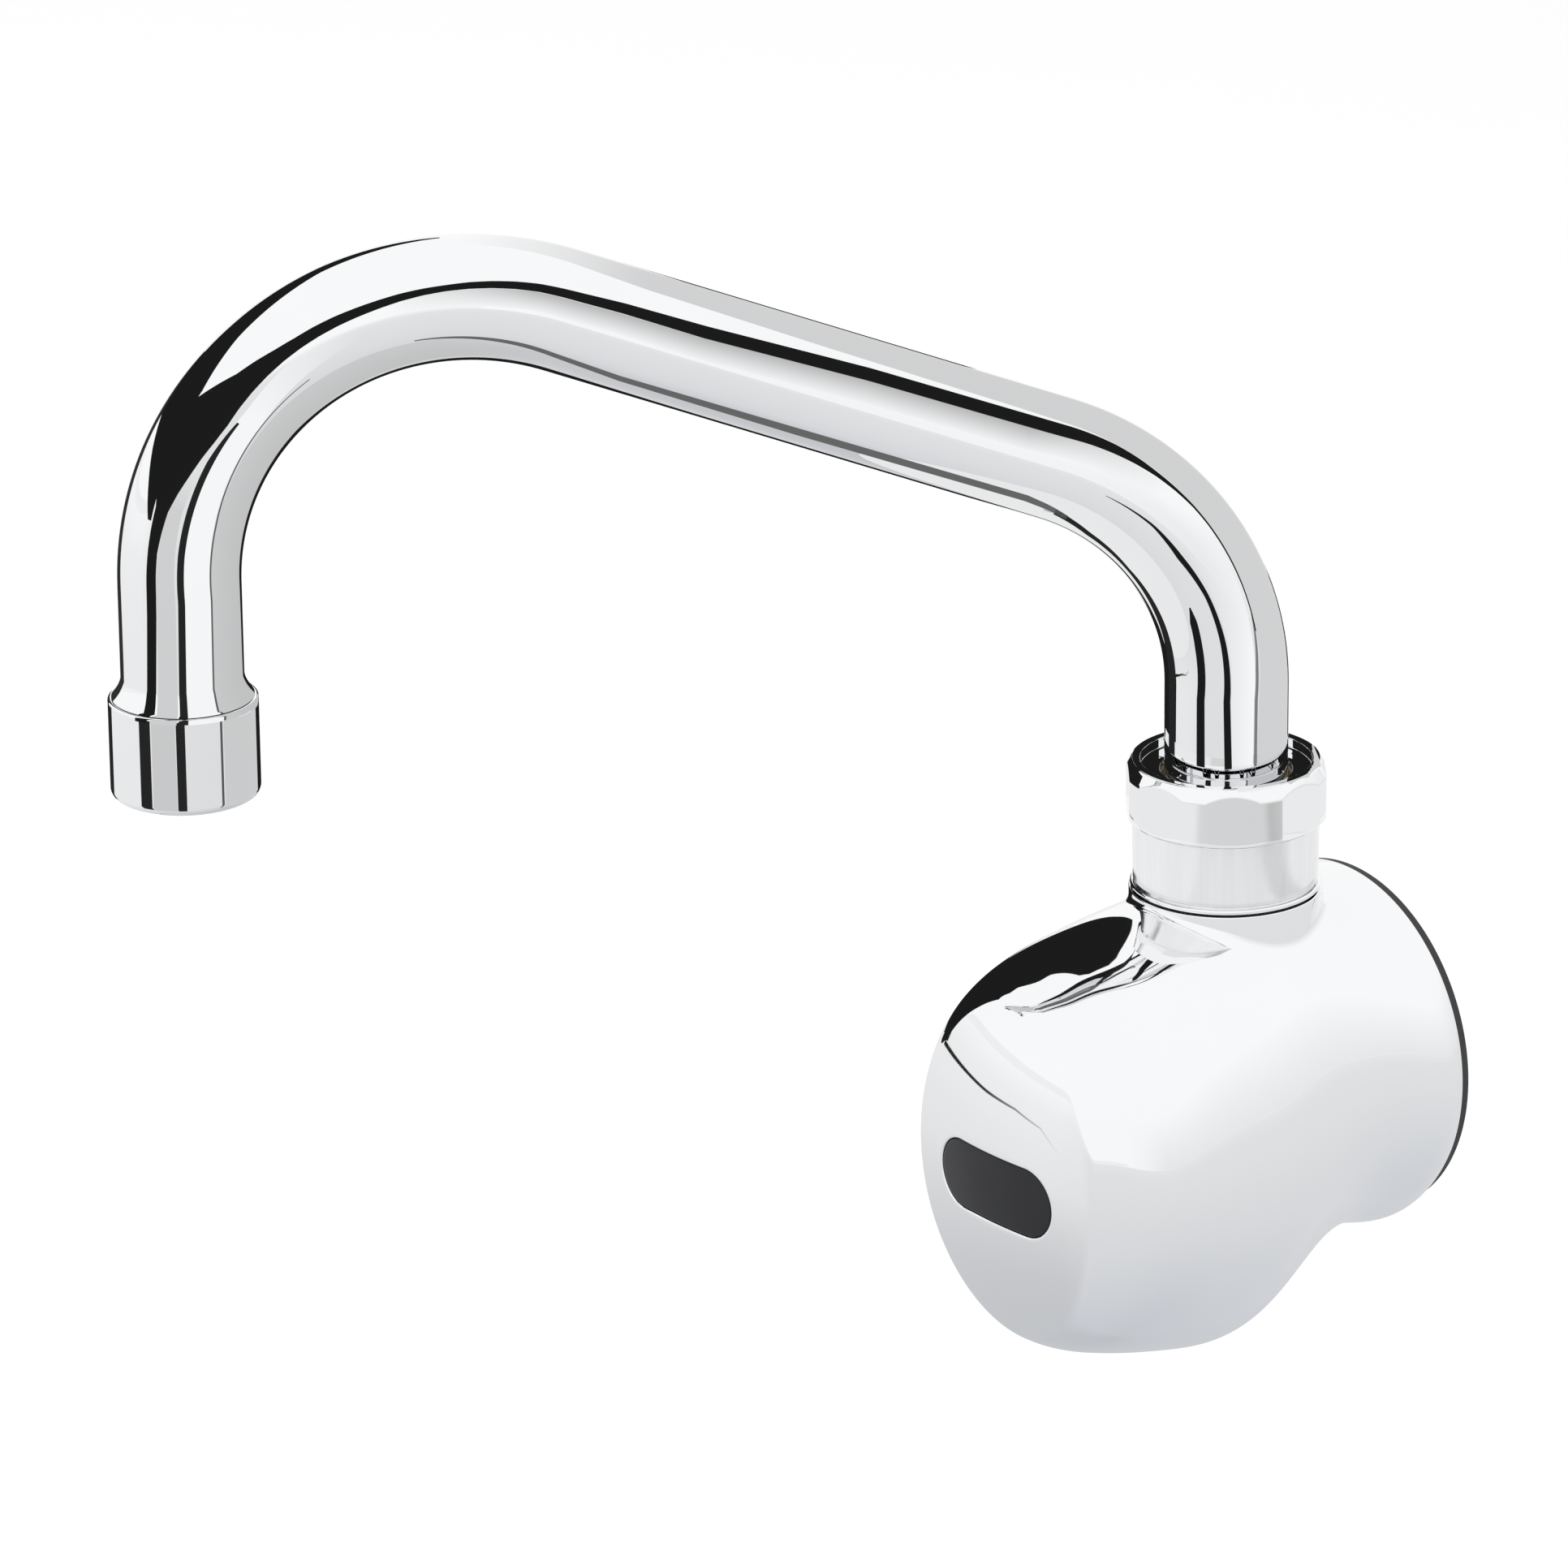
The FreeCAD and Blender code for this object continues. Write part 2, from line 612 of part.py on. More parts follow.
def make_body_shell():
    outside = casting_outside()
    solid = casting_solid(outside)
    recess = cylinder("plate_recess", "plate_radius + fit_gap", "plate_thick")
    face_front(recess)
    bind(recess, Placement__Base__y="-gasket_thick")
    hollow = cut("casting_hollow", solid, [
        casting_chamber(),
        recess,
        stem_cylinder("elbow_seat", "elbow_radius + fit_gap", "seat_top"),
        stem_cylinder("stem_hole", "tail_radius + fit_gap", "land_height + cut_over"),
        slot_plate("window_hole", "window_half + fit_gap", "window_radius + fit_gap",
                   "chamber_end - cut_over", "front_wall + 2 * cut_over"),
    ])

    bosses = doc.addObject("Part::Common", "bosses_inside")
    bosses.Base = round_holes("screw_bosses", "plate_front", "plate_screw_length + boss_floor",
                              "plate_screw_boss", plate_screw_centres())
    bosses.Tool = outside
    bossed = doc.addObject("Part::Fuse", "casting_bossed")
    bossed.Base = hollow
    bossed.Tool = bosses
    shell = cut("casting_drilled", bossed, [
        round_holes("boss_holes", "gasket_thick", "plate_thick + plate_screw_length",
                    "screw_radius + fit_gap", plate_screw_centres()),
        round_holes("tab_holes", "chamber_end - cut_over", "screw_length",
                    "screw_radius + fit_gap", tab_screw_centres()),
    ])
    shell.Label = "body_shell"
    return shell


def make_wall_gasket():
    gasket = turned_ring("wall_gasket", "flange_radius - gasket_inset - gasket_band",
                         "flange_radius - gasket_inset", "0", "gasket_thick")
    face_front(gasket)
    return gasket


# ---------------------------------------------------------------------------------------------
# Back plate, its screws and the cable grommet
# ---------------------------------------------------------------------------------------------
def make_back_plate():
    plate = new_body("back_plate")
    sketch = new_sketch(plate, "XY_Plane", "gasket_thick")
    draw_circle(sketch, "plate_radius")
    draw_circle(sketch, "elbow_radius + fit_gap")
    draw_circle(sketch, "grommet_radius", "0", "-grommet_place")
    for across, along in plate_screw_centres():
        draw_circle(sketch, "screw_radius + fit_gap", across, along)
    pad(plate, sketch, "plate_thick")
    doc.recompute()
    heads = new_sketch(plate, "XY_Plane", "gasket_thick")
    for across, along in plate_screw_centres():
        draw_circle(heads, "screw_head + fit_gap", across, along)
    plate.Tip = pocket(plate, heads, "screw_head_height", reverse=True)
    face_front(plate)
    return plate


def screw_pair(label, centres, head_foot, shank_length):
    """Two like screws; the heads lie towards the wall and the shanks point to the front."""
    tip = "screw_head_height + " + shank_length
    screws = []
    for number, (across, along) in enumerate(centres, start=1):
        screw = turned("%s_%d" % (label, number), [
            ("0", "0"),
            ("screw_head", "0"),
            ("screw_head", "screw_head_height"),
            ("screw_radius", "screw_head_height"),
            ("screw_radius", tip),
            ("0", tip),
        ])
        face_front(screw)
        bind(screw, Placement__Base__x=across, Placement__Base__y="-( %s )" % head_foot,
             Placement__Base__z=along)
        screws.append(screw)
    return group(label, screws)


def make_plate_screws():
    return screw_pair("plate_screws", plate_screw_centres(), "gasket_thick",
                      "plate_screw_length - screw_head_height")


def make_cable_grommet():
    front = "plate_front + grommet_flange_thick"
    grommet = turned("cable_grommet", [
        ("grommet_bore", "gasket_thick"),
        ("grommet_radius", "gasket_thick"),
        ("grommet_radius", "plate_front"),
        ("grommet_flange", "plate_front"),
        ("grommet_flange", front),
        ("grommet_bore", front),
    ])
    face_front(grommet)
    bind(grommet, Placement__Base__z="-grommet_place")
    return grommet


# ---------------------------------------------------------------------------------------------
# Waterway
# ---------------------------------------------------------------------------------------------
def make_waterway_elbow():
    """A brass elbow: a level barrel from the wall and an upright one under the stem."""
    level = cylinder("elbow_level", "elbow_radius", "stem_depth")
    face_front(level)
    knee = doc.addObject("Part::Sphere", "elbow_knee")
    bind(knee, Radius="elbow_radius", Placement__Base__y="-stem_depth")
    solid = level
    for number, other in enumerate((stem_cylinder("elbow_upright", "elbow_radius", "elbow_top"),
                                    knee), start=1):
        joined = doc.addObject("Part::Fuse", "elbow_joined_%d" % number)
        joined.Base = solid
        joined.Tool = other
        solid = joined

    level_holes = [
        cylinder("inlet_thread", "inlet_radius", "inlet_length"),
        cylinder("washer_seat", "inlet_seat", "inlet_length + inlet_washer"),
        cylinder("level_way", "waterway_radius", "stem_depth"),
    ]
    for hole in level_holes:
        face_front(hole)
    tail_hole = stem_cylinder("tail_hole", "tail_radius + fit_gap", "elbow_top - tail_foot + cut_over")
    bind(tail_hole, Placement__Base__z="tail_foot - fit_gap")
    upright_way = stem_cylinder("upright_way", "waterway_radius", "elbow_top")
    elbow = cut("elbow_bored", solid, level_holes + [upright_way, tail_hole])
    elbow.Label = "waterway_elbow"
    return elbow


def make_elbow_washer():
    washer = turned_ring("elbow_washer", "tail_radius + fit_gap", "elbow_radius", "elbow_top",
                         "seat_top")
    place_on_stem(washer)
    return washer


def make_inlet_washer():
    washer = turned_ring("inlet_washer_ring", "inlet_mouth", "inlet_seat", "inlet_length",
                         "inlet_length + inlet_washer")
    face_front(washer)
    washer.Label = "inlet_washer"
    return washer


def make_inlet_strainer():
    """A cup of fine mesh in the water passage; its rim stands on the elbow's inner shoulder."""
    rim = "inlet_length + inlet_washer"
    end = rim + " + strainer_length"
    strainer = turned("inlet_strainer", [
        ("strainer_radius - strainer_wall", rim + " - strainer_wall"),
        ("inlet_mouth - fit_gap", rim + " - strainer_wall"),
        ("inlet_mouth - fit_gap", rim),
        ("strainer_radius", rim),
        ("strainer_radius", end),
        ("0", end),
        ("0", end + " - strainer_wall"),
        ("strainer_radius - strainer_wall", end + " - strainer_wall"),
    ])
    face_front(strainer)
    return strainer


# ---------------------------------------------------------------------------------------------
# Stem seat: seal, base ring, adapter, nut and glide rings
# ---------------------------------------------------------------------------------------------
def make_adapter_seal():
    seal = turned_ring("adapter_seal", "tail_radius + fit_gap", "seal_radius", "land_height",
                       "seal_top")
    place_on_stem(seal)
    return seal


def make_base_ring():
    ring = turned_ring("base_ring", "tail_radius + fit_gap", "ring_radius", "seal_top", "ring_top")
    doc.recompute()
    rim = size("ring_radius")

    def on_rim(point):
        return abs(math.hypot(point.x, point.y) - rim) < ON_CURVE

    round_edges(ring, ring.Tip, on_rim, "ring_thick / 4")
    place_on_stem(ring)
    return ring


def make_spout_adapter():
    adapter = turned("spout_adapter", [
        ("waterway_radius", "tail_foot"),
        ("tail_radius", "tail_foot"),
        ("tail_radius", "ring_top"),
        ("seal_radius", "ring_top"),
        ("seal_radius", "band_foot"),
        ("adapter_radius - adapter_draft", "band_foot"),
        ("adapter_radius", "band_top"),
        ("thread_radius", "band_top"),
        ("thread_radius", "thread_top"),
        ("socket_radius", "thread_top"),
        ("socket_radius", "socket_floor"),
        ("waterway_radius", "socket_floor"),
    ])
    place_on_stem(adapter)
    return adapter


def make_swivel_nut():
    blank = turned("nut_turned", [
        ("nut_bore", "nut_base"),
        ("adapter_radius", "nut_base"),
        ("nut_corner", "nut_base + nut_foot"),
        ("nut_corner", "nut_top - nut_chamfer_height"),
        ("nut_corner - nut_chamfer", "nut_top"),
        ("nut_mouth", "nut_top"),
        ("nut_mouth", "nut_lip_top"),
        ("tube_radius + lip_gap", "nut_lip_top"),
        ("tube_radius + lip_gap", "nut_lip_foot"),
        ("nut_bore", "nut_lip_foot"),
    ])
    place_on_stem(blank)
    flats = doc.addObject("Part::Prism", "nut_flats_prism")
    flats.Polygon = 8
    bind(flats, Circumradius="nut_flats / 2 / cos( 180 / 8 )", Height="nut_height + 2 * cut_over",
         Placement__Base__y="-stem_depth", Placement__Base__z="nut_base - cut_over",
         Placement__Rotation__Angle="nut_turn")
    nut = doc.addObject("Part::Common", "nut_flatted")
    nut.Base = blank
    nut.Tool = flats
    nut.Label = "swivel_nut"
    return nut


def make_lower_glide():
    ring = turned_ring("lower_glide_ring", "sleeve_radius + fit_gap + running_gap",
                       "sleeve_flange_radius", "glide_foot", "glide_foot + glide_thick")
    place_on_stem(ring)
    return ring


def make_upper_glide():
    ring = turned_ring("upper_glide_ring", "tube_radius + lip_gap", "sleeve_flange_radius",
                       "top_glide_foot", "top_glide_foot + glide_thick")
    place_on_stem(ring)
    return ring


# ---------------------------------------------------------------------------------------------
# Spout
# ---------------------------------------------------------------------------------------------
def draw_spout_path(sketch):
    """The tube's axis: up the stem, round the near bend, along the run, round the far bend, down."""
    slope = math.radians(size("rise_angle"))
    near = size("near_bend")
    far = size("far_bend")
    reach = size("reach")
    crest = size("crest_height")
    far_centre = V(reach - far, crest - far, 0)
    run_end = far_centre + V(-far * math.sin(slope), far * math.cos(slope), 0)
    run_start_x = near * (1 - math.sin(slope))
    run_start = V(run_start_x, run_end.y - (run_end.x - run_start_x) * math.tan(slope), 0)
    near_centre = V(near, run_start.y - near * math.cos(slope), 0)
    stem_foot = V(0, size("stem_foot"), 0)
    outlet = V(reach, size("outlet_foot"), 0)
    up = V(0, 0, 1)
    stem = sketch.addGeometry(Part.LineSegment(stem_foot, V(0, near_centre.y, 0)))
    first = sketch.addGeometry(
        Part.ArcOfCircle(Part.Circle(near_centre, up, near), math.pi / 2 + slope, math.pi))
    run = sketch.addGeometry(Part.LineSegment(run_start, run_end))
    second = sketch.addGeometry(
        Part.ArcOfCircle(Part.Circle(far_centre, up, far), 0, math.pi / 2 + slope))
    leg = sketch.addGeometry(Part.LineSegment(V(reach, far_centre.y, 0), outlet))
    sketch.addConstraint(Sketcher.Constraint("Vertical", stem))
    sketch.addConstraint(Sketcher.Constraint("Vertical", leg))
    for one, end, other, start in ((stem, 2, first, 2), (first, 1, run, 1),
                                   (run, 2, second, 2), (second, 1, leg, 1)):
        sketch.addConstraint(Sketcher.Constraint("Tangent", one, end, other, start))
    add_dimension(sketch, Sketcher.Constraint("DistanceX", -1, 1, stem, 1, 0), "0")
    add_dimension(sketch, Sketcher.Constraint("DistanceY", -1, 1, stem, 1, stem_foot.y), "stem_foot")
    add_dimension(sketch, Sketcher.Constraint("Radius", first, near), "near_bend")
    add_dimension(sketch, Sketcher.Constraint("Radius", second, far), "far_bend")
    add_dimension(sketch, Sketcher.Constraint("Angle", run, slope), "rise_angle * 1 deg")
    add_dimension(sketch, Sketcher.Constraint("DistanceX", -1, 1, leg, 2, reach), "reach")
    add_dimension(sketch, Sketcher.Constraint("DistanceY", -1, 1, leg, 2, outlet.y), "outlet_foot")
    add_dimension(sketch, Sketcher.Constraint("DistanceY", -1, 1, second, 3, far_centre.y),
                  "crest_height - far_bend")


def make_spout_tube():
    tube = new_body("spout_tube")
    path = new_sketch(tube, "XZ_Plane")
    draw_spout_path(path)
    doc.recompute()
    path_edges = ["Edge%d" % number for number in range(1, path.GeometryCount + 1)]
    section = new_sketch(tube, "XY_Plane", "stem_foot")
    draw_circle(section, "tube_radius")
    solid = tube.newObject("PartDesign::AdditivePipe", "spout_tube_pipe")
    solid.Profile = section
    solid.Spine = (path, path_edges)
    tube.Tip = solid
    doc.recompute()

    flare = new_sketch(tube, "XZ_Plane")
    draw_outline(flare, [
        ("reach", "outlet_foot"),
        ("reach + outlet_thread", "outlet_foot"),
        ("reach + outlet_thread", "flare_foot"),
        ("reach + flare_radius", "flare_foot"),
        ("reach + flare_radius", "flare_foot + flare_height / 8"),
        ("reach + tube_radius + ( flare_radius - tube_radius ) / 3", "flare_foot + flare_height / 2"),
        ("reach + tube_radius", "flare_foot + flare_height"),
        ("reach", "flare_foot + flare_height"),
    ])
    start = V(START_AWAY, 0, 0)
    axis = flare.addGeometry(Part.LineSegment(start, start + V(0, START_SPREAD, 0)), True)
    flare.addConstraint(Sketcher.Constraint("Vertical", axis))
    add_dimension(flare, Sketcher.Constraint("DistanceX", -1, 1, axis, 1, start.x), "reach")
    turned_end = tube.newObject("PartDesign::Revolution", "spout_flare")
    turned_end.Profile = flare
    turned_end.ReferenceAxis = (flare, ["Axis0"])
    turned_end.Angle = 360
    tube.Tip = turned_end
    doc.recompute()

    bore_section = new_sketch(tube, "XY_Plane", "stem_foot")
    draw_circle(bore_section, "tube_bore")
    bore = tube.newObject("PartDesign::SubtractivePipe", "spout_tube_bore")
    bore.Profile = bore_section
    bore.Spine = (path, path_edges)
    tube.Tip = bore
    bind(tube, Placement__Base__y="-stem_depth", Placement__Rotation__Angle="heading")
    return tube


# The two O-rings stand at these shares of the sleeve's length, from its foot
O_RING_SHARES = ("0.25", "0.65")


def make_stem_sleeve():
    """The brass sleeve brazed on the tube's lower end, with two O-ring grooves and a flange."""
    grooves = []
    for share in O_RING_SHARES:
        middle = "sleeve_foot + sleeve_length * " + share
        grooves += [
            ("sleeve_radius", middle + " - groove_width / 2"),
            ("groove_floor", middle + " - groove_width / 2"),
            ("groove_floor", middle + " + groove_width / 2"),
            ("sleeve_radius", middle + " + groove_width / 2"),
        ]
    sleeve = turned("stem_sleeve", [
        ("tube_bore", "sleeve_foot"),
        ("sleeve_radius", "sleeve_foot"),
    ] + grooves + [
        ("sleeve_radius", "flange_foot"),
        ("sleeve_flange_radius", "flange_foot"),
        ("sleeve_flange_radius", "flange_top"),
        ("tube_radius", "flange_top"),
        ("tube_radius", "stem_foot"),
        ("tube_bore", "stem_foot"),
    ])
    place_on_stem(sleeve)
    return sleeve


def make_stem_o_rings():
    """Two O-rings that fill the sleeve's grooves and reach the adapter's socket."""
    rings = []
    for number, share in enumerate(O_RING_SHARES, start=1):
        ring = doc.addObject("Part::Torus", "stem_o_ring_%d" % number)
        bind(ring, Radius1="ring_outside - cord_radius", Radius2="cord_radius",
             Placement__Base__y="-stem_depth",
             Placement__Base__z="sleeve_foot + sleeve_length * " + share)
        rings.append(ring)
    return group("stem_o_rings", rings)


# ---------------------------------------------------------------------------------------------
# Aerator
# ---------------------------------------------------------------------------------------------
def make_aerator_collar():
    collar = turned("aerator_collar", [
        ("collar_mouth", "collar_foot"),
        ("collar_radius", "collar_foot"),
        ("collar_radius", "collar_top"),
        ("collar_bore", "collar_top"),
        ("collar_bore", "lip_top"),
        ("collar_mouth", "lip_top"),
    ])
    doc.recompute()
    outer = size("collar_radius")
    lower = round_edges(collar, collar.Tip, circle_test(outer, size("collar_foot")),
                        "min( collar_round ; 0.9 * ( collar_radius - collar_mouth ) )")
    round_edges(collar, lower, circle_test(outer, size("collar_top")), "collar_edge")
    place_on_outlet(collar)
    return collar


def make_aerator_screens():
    """Two mesh discs under the insert, held apart by the spacer."""
    screens = []
    for number in range(2):
        foot = "lip_top + %d * ( screen_thick + screen_gap )" % number
        screen = turned("aerator_screen_%d" % (number + 1), [
            ("0", foot),
            ("disc_radius", foot),
            ("disc_radius", foot + " + screen_thick"),
            ("0", foot + " + screen_thick"),
        ])
        place_on_outlet(screen)
        screens.append(screen)
    return group("aerator_screens", screens)


def make_aerator_spacer():
    spacer = turned_ring("aerator_spacer", "collar_mouth", "disc_radius",
                         "lip_top + screen_thick", "lip_top + screen_thick + screen_gap")
    place_on_outlet(spacer)
    return spacer


def make_aerator_insert():
    """A plastic disc with two rings of holes that mixes air into the water."""
    insert = new_body("aerator_insert")
    disc = new_sketch(insert, "XY_Plane", "insert_foot")
    draw_circle(disc, "disc_radius")
    draw_circle(disc, "insert_hole")
    pad(insert, disc, "insert_height")
    doc.recompute()
    for count, place in ((6, "inner_holes"), (12, "outer_holes")):
        hole = new_sketch(insert, "XY_Plane", "insert_foot")
        draw_circle(hole, "insert_hole", place)
        drilled = pocket(insert, hole, "insert_height", reverse=True)
        doc.recompute()
        ring = insert.newObject("PartDesign::PolarPattern", "insert_ring_%d" % count)
        ring.Originals = [drilled]
        ring.Axis = (disc, ["N_Axis"])
        ring.Angle = 360
        ring.Occurrences = count
        insert.Tip = ring
        doc.recompute()
    place_on_outlet(insert)
    return insert


def make_aerator_washer():
    washer = turned_ring("aerator_washer", "washer_mouth", "outlet_thread", "washer_foot",
                         "outlet_foot")
    place_on_outlet(washer)
    return washer


# ---------------------------------------------------------------------------------------------
# Sensor
# ---------------------------------------------------------------------------------------------
def make_sensor_window():
    """The dark window: a slot-shaped block whose face follows the domed front, on a ledge."""
    block = slot_plate("window_block", "window_half", "window_radius", "housing_front",
                       "body_depth - housing_front + cut_over")
    domed = domed_front("window", block, "face_dome - window_inset")[0]
    window = doc.addObject("Part::Fuse", "window_whole")
    window.Base = domed
    window.Tool = slot_plate("window_ledge", "window_half + window_step",
                             "window_radius + window_step", "housing_front", "window_flange")
    window.Label = "sensor_window"
    return window


def make_window_gasket():
    gasket = slot_plate("window_gasket_ring", "window_half + window_step",
                        "window_radius + window_step", "chamber_end - window_gasket",
                        "window_gasket", ("window_half + fit_gap", "window_radius + fit_gap"))
    gasket.Label = "window_gasket"
    return gasket


def make_sensor_housing():
    """A black box open to the rear, with a screw tab above and one below."""
    housing = new_body("sensor_housing")
    outline = new_sketch(housing, "XY_Plane", "housing_back")
    draw_outline(outline, box_corners("housing_half", "housing_rise"))
    pad(housing, outline, "housing_depth")
    tabs = new_sketch(housing, "XY_Plane", "housing_front - tab_thick")
    draw_outline(tabs, box_corners("tab_half", "tab_reach"))
    pad(housing, tabs, "tab_thick")
    doc.recompute()
    hollow = new_sketch(housing, "XY_Plane", "housing_back")
    draw_outline(hollow, box_corners("housing_half - housing_wall", "housing_rise - housing_wall"))
    pocket(housing, hollow, "housing_depth - housing_wall", reverse=True)
    doc.recompute()
    holes = new_sketch(housing, "XY_Plane", "housing_front - tab_thick - cut_over")
    for across, along in tab_screw_centres():
        draw_circle(holes, "screw_radius + fit_gap", across, along)
    for side in ("", "-"):
        draw_circle(holes, "diode_radius + fit_gap", side + "diode_place", "-window_place")
    housing.Tip = pocket(housing, holes, "tab_thick + 2 * cut_over", reverse=True)
    face_front(housing)
    return housing


def box_corners(half_width, half_height):
    """Corners of a rectangle about the window's middle."""
    low = "-window_place - ( %s )" % half_height
    high = "-window_place + ( %s )" % half_height
    left = "-( %s )" % half_width
    return [(left, low), (half_width, low), (half_width, high), (left, high)]


def make_housing_cover():
    cover = new_body("housing_cover")
    sketch = new_sketch(cover, "XY_Plane", "housing_back - cover_thick")
    draw_outline(sketch, box_corners("housing_half", "housing_rise"))
    draw_circle(sketch, "lead_hole", "0", "-window_place")
    pad(cover, sketch, "cover_thick")
    face_front(cover)
    return cover


def make_sensor_board():
    board = new_body("sensor_board")
    sketch = new_sketch(board, "XY_Plane", "board_rear")
    draw_outline(sketch, box_corners("housing_half - housing_wall - fit_gap",
                                     "housing_rise - housing_wall - fit_gap"))
    pad(board, sketch, "board_thick")
    face_front(board)
    return board


def make_diode(label, side):
    """An infrared diode: a round body with a domed tip, standing on the board."""
    straight = "board_front + diode_length - diode_radius"
    halfway = "diode_radius * cos( 45 )"
    diode = turned(label, [
        ("0", "board_front"),
        ("diode_radius", "board_front"),
        ("diode_radius", straight),
        (halfway, straight + " + " + halfway),
        ("0", straight + " + diode_radius"),
    ])
    face_front(diode)
    bind(diode, Placement__Base__x=side + "diode_place", Placement__Base__z="-window_place")
    return diode


def make_sensor_screws():
    return screw_pair("sensor_screws", tab_screw_centres(),
                      "housing_front - tab_thick - screw_head_height", "screw_length")


# ---------------------------------------------------------------------------------------------
# Build, check and write
# ---------------------------------------------------------------------------------------------
PIECES = [
    make_body_shell(),
    make_wall_gasket(),
    make_back_plate(),
    make_plate_screws(),
    make_cable_grommet(),
    make_waterway_elbow(),
    make_elbow_washer(),
    make_inlet_washer(),
    make_inlet_strainer(),
    make_adapter_seal(),
    make_base_ring(),
    make_spout_adapter(),
    make_swivel_nut(),
    make_lower_glide(),
    make_upper_glide(),
    make_spout_tube(),
    make_stem_sleeve(),
    make_stem_o_rings(),
    make_aerator_collar(),
    make_aerator_screens(),
    make_aerator_spacer(),
    make_aerator_insert(),
    make_aerator_washer(),
    make_sensor_window(),
    make_window_gasket(),
    make_sensor_housing(),
    make_housing_cover(),
    make_sensor_board(),
    make_diode("infrared_emitter", "-"),
    make_diode("infrared_receiver", ""),
    make_sensor_screws(),
]


def check_and_write(pieces):
    """Stop on any failed feature or bad solid, then write one file for each piece."""
    doc.recompute()
    for feature in doc.Objects:
        if "Invalid" in feature.State or "Error" in feature.State:
            raise RuntimeError("feature failed: " + feature.Label)
    for piece in pieces:
        shape = piece.Shape
        if shape.isNull() or not shape.isValid() or not shape.Solids:
            raise RuntimeError("bad solid: " + piece.Label)
    os.makedirs("parts", exist_ok=True)
    for piece in pieces:
        piece.Shape.exportStep("parts/%s.step" % piece.Label)
        print("%-20s %d solid(s) %10.1f mm3" % (piece.Label, len(piece.Shape.Solids),
                                                piece.Shape.Volume))


check_and_write(PIECES)
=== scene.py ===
"""Finished look of the wall-mounted sensor tap, laid out as a Blender add-on.

Everything is in metres, in the frame of the measured model: the wall face is y = 0, the tap
stands out of the wall towards -Y and +Z is up.  "Depth" is the distance from the wall.
"""
import json
import math

import bmesh
import bpy
import numpy as np
from bpy.props import FloatProperty, FloatVectorProperty, PointerProperty
from bpy.types import Operator, Panel, PropertyGroup
from mathutils import Matrix, Vector


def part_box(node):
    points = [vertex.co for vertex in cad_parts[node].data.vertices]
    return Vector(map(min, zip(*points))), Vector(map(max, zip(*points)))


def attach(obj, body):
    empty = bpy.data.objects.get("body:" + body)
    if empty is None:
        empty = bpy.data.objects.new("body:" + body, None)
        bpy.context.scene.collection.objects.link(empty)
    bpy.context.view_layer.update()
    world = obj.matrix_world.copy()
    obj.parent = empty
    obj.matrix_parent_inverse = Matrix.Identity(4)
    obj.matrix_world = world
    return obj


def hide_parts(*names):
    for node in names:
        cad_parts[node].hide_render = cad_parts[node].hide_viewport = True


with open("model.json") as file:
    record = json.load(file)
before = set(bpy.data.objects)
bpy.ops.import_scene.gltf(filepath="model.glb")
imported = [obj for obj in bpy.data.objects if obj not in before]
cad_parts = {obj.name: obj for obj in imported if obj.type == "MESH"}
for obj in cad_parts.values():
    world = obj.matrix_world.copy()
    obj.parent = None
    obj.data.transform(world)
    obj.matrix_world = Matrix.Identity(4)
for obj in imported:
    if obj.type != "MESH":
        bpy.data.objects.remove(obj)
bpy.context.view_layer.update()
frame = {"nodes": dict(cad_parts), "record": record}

bl_info = {
    "name": "Sensor tap",
    "version": (1, 0, 0),
    "blender": (4, 5, 0),
    "location": "3D View > Sidebar > Sensor tap",
    "description": "Builds the chrome sensor tap, its finishes and its studio",
    "category": "Object",
}

MM = 0.001
# Cross-sections of the casting: depth, half width, top and drop from the flange centre, in mm
CASTING_SECTIONS = (
    (1.2, 28.5, 28.5, 28.5),
    (3.0, 28.966, 28.861, 29.626),
    (6.0, 28.389, 29.405, 29.760),
    (10.13, 26.905, 30.12, 29.135),
    (20.05, 25.6, 31.2, 32.69),
    (32.62, 27.81, 31.2, 41.2),
    (45.39, 29.0, 29.73, 41.2),
    (51.0, 29.423, 28.480, 39.955),
    (58.64, 29.0, 26.20, 37.92),
    (63.0, 27.262, 24.422, 36.465),
    (68.57, 22.7, 21.4, 33.2),
    (74.72, 16.34, 14.98, 27.22),
)
# Steps of the meshes
ROUND = 192            # round a turned piece
INNER_ROUND = 128      # round the elbow and the window
SCREW_ROUND = 48       # round a plate screw
WIRE_SIDES = 6         # round a wire of the screens
CASTING_ROUND = 256    # round the casting
CASTING_ROWS = 110     # along the casting
HOLLOW_ROWS = 24       # along its hollow
DOME_RINGS = 22        # from the front edge in to the window's opening
WINDOW_RINGS = 12      # over the window's face
BACK_RINGS = 6         # over its back
FILLET_STEPS = 12
CORNER_STEPS = 5
BEND_STEP = 1.6        # degrees
SOLVE_STEPS = 40
# Small measures in metres that are no settings
MERGED = 1e-7          # points nearer than this become one
FIT = 0.05 * MM        # room between two pieces that touch
FRONT_SEARCH = 50.0 * MM    # the front edge lies beyond this depth
LAND_SEARCH = -10.0 * MM    # the land's foot lies above this height
LAND_EDGE = 0.15 * MM       # rounding of the land's top
FOOT_SUNK, BORE_SUNK = 0.3 * MM, 2.5 * MM   # how far the land goes on inside the metal
RECESS_DEPTH = 2.5 * MM     # from the flange to the ledge of the back plate
HOLLOW_OPENS = 6.0 * MM     # depth over which the hollow widens behind the ledge
HOLLOW_STEP = 1.0 * MM      # from the back of the front wall to the hollow's full width
NO_LIMIT = 0.05             # wider than the casting
WINDOW_STEP = 6.9 * MM      # from the window's foremost point to its wider back
THREAD_CHAMFER = 0.4 * MM


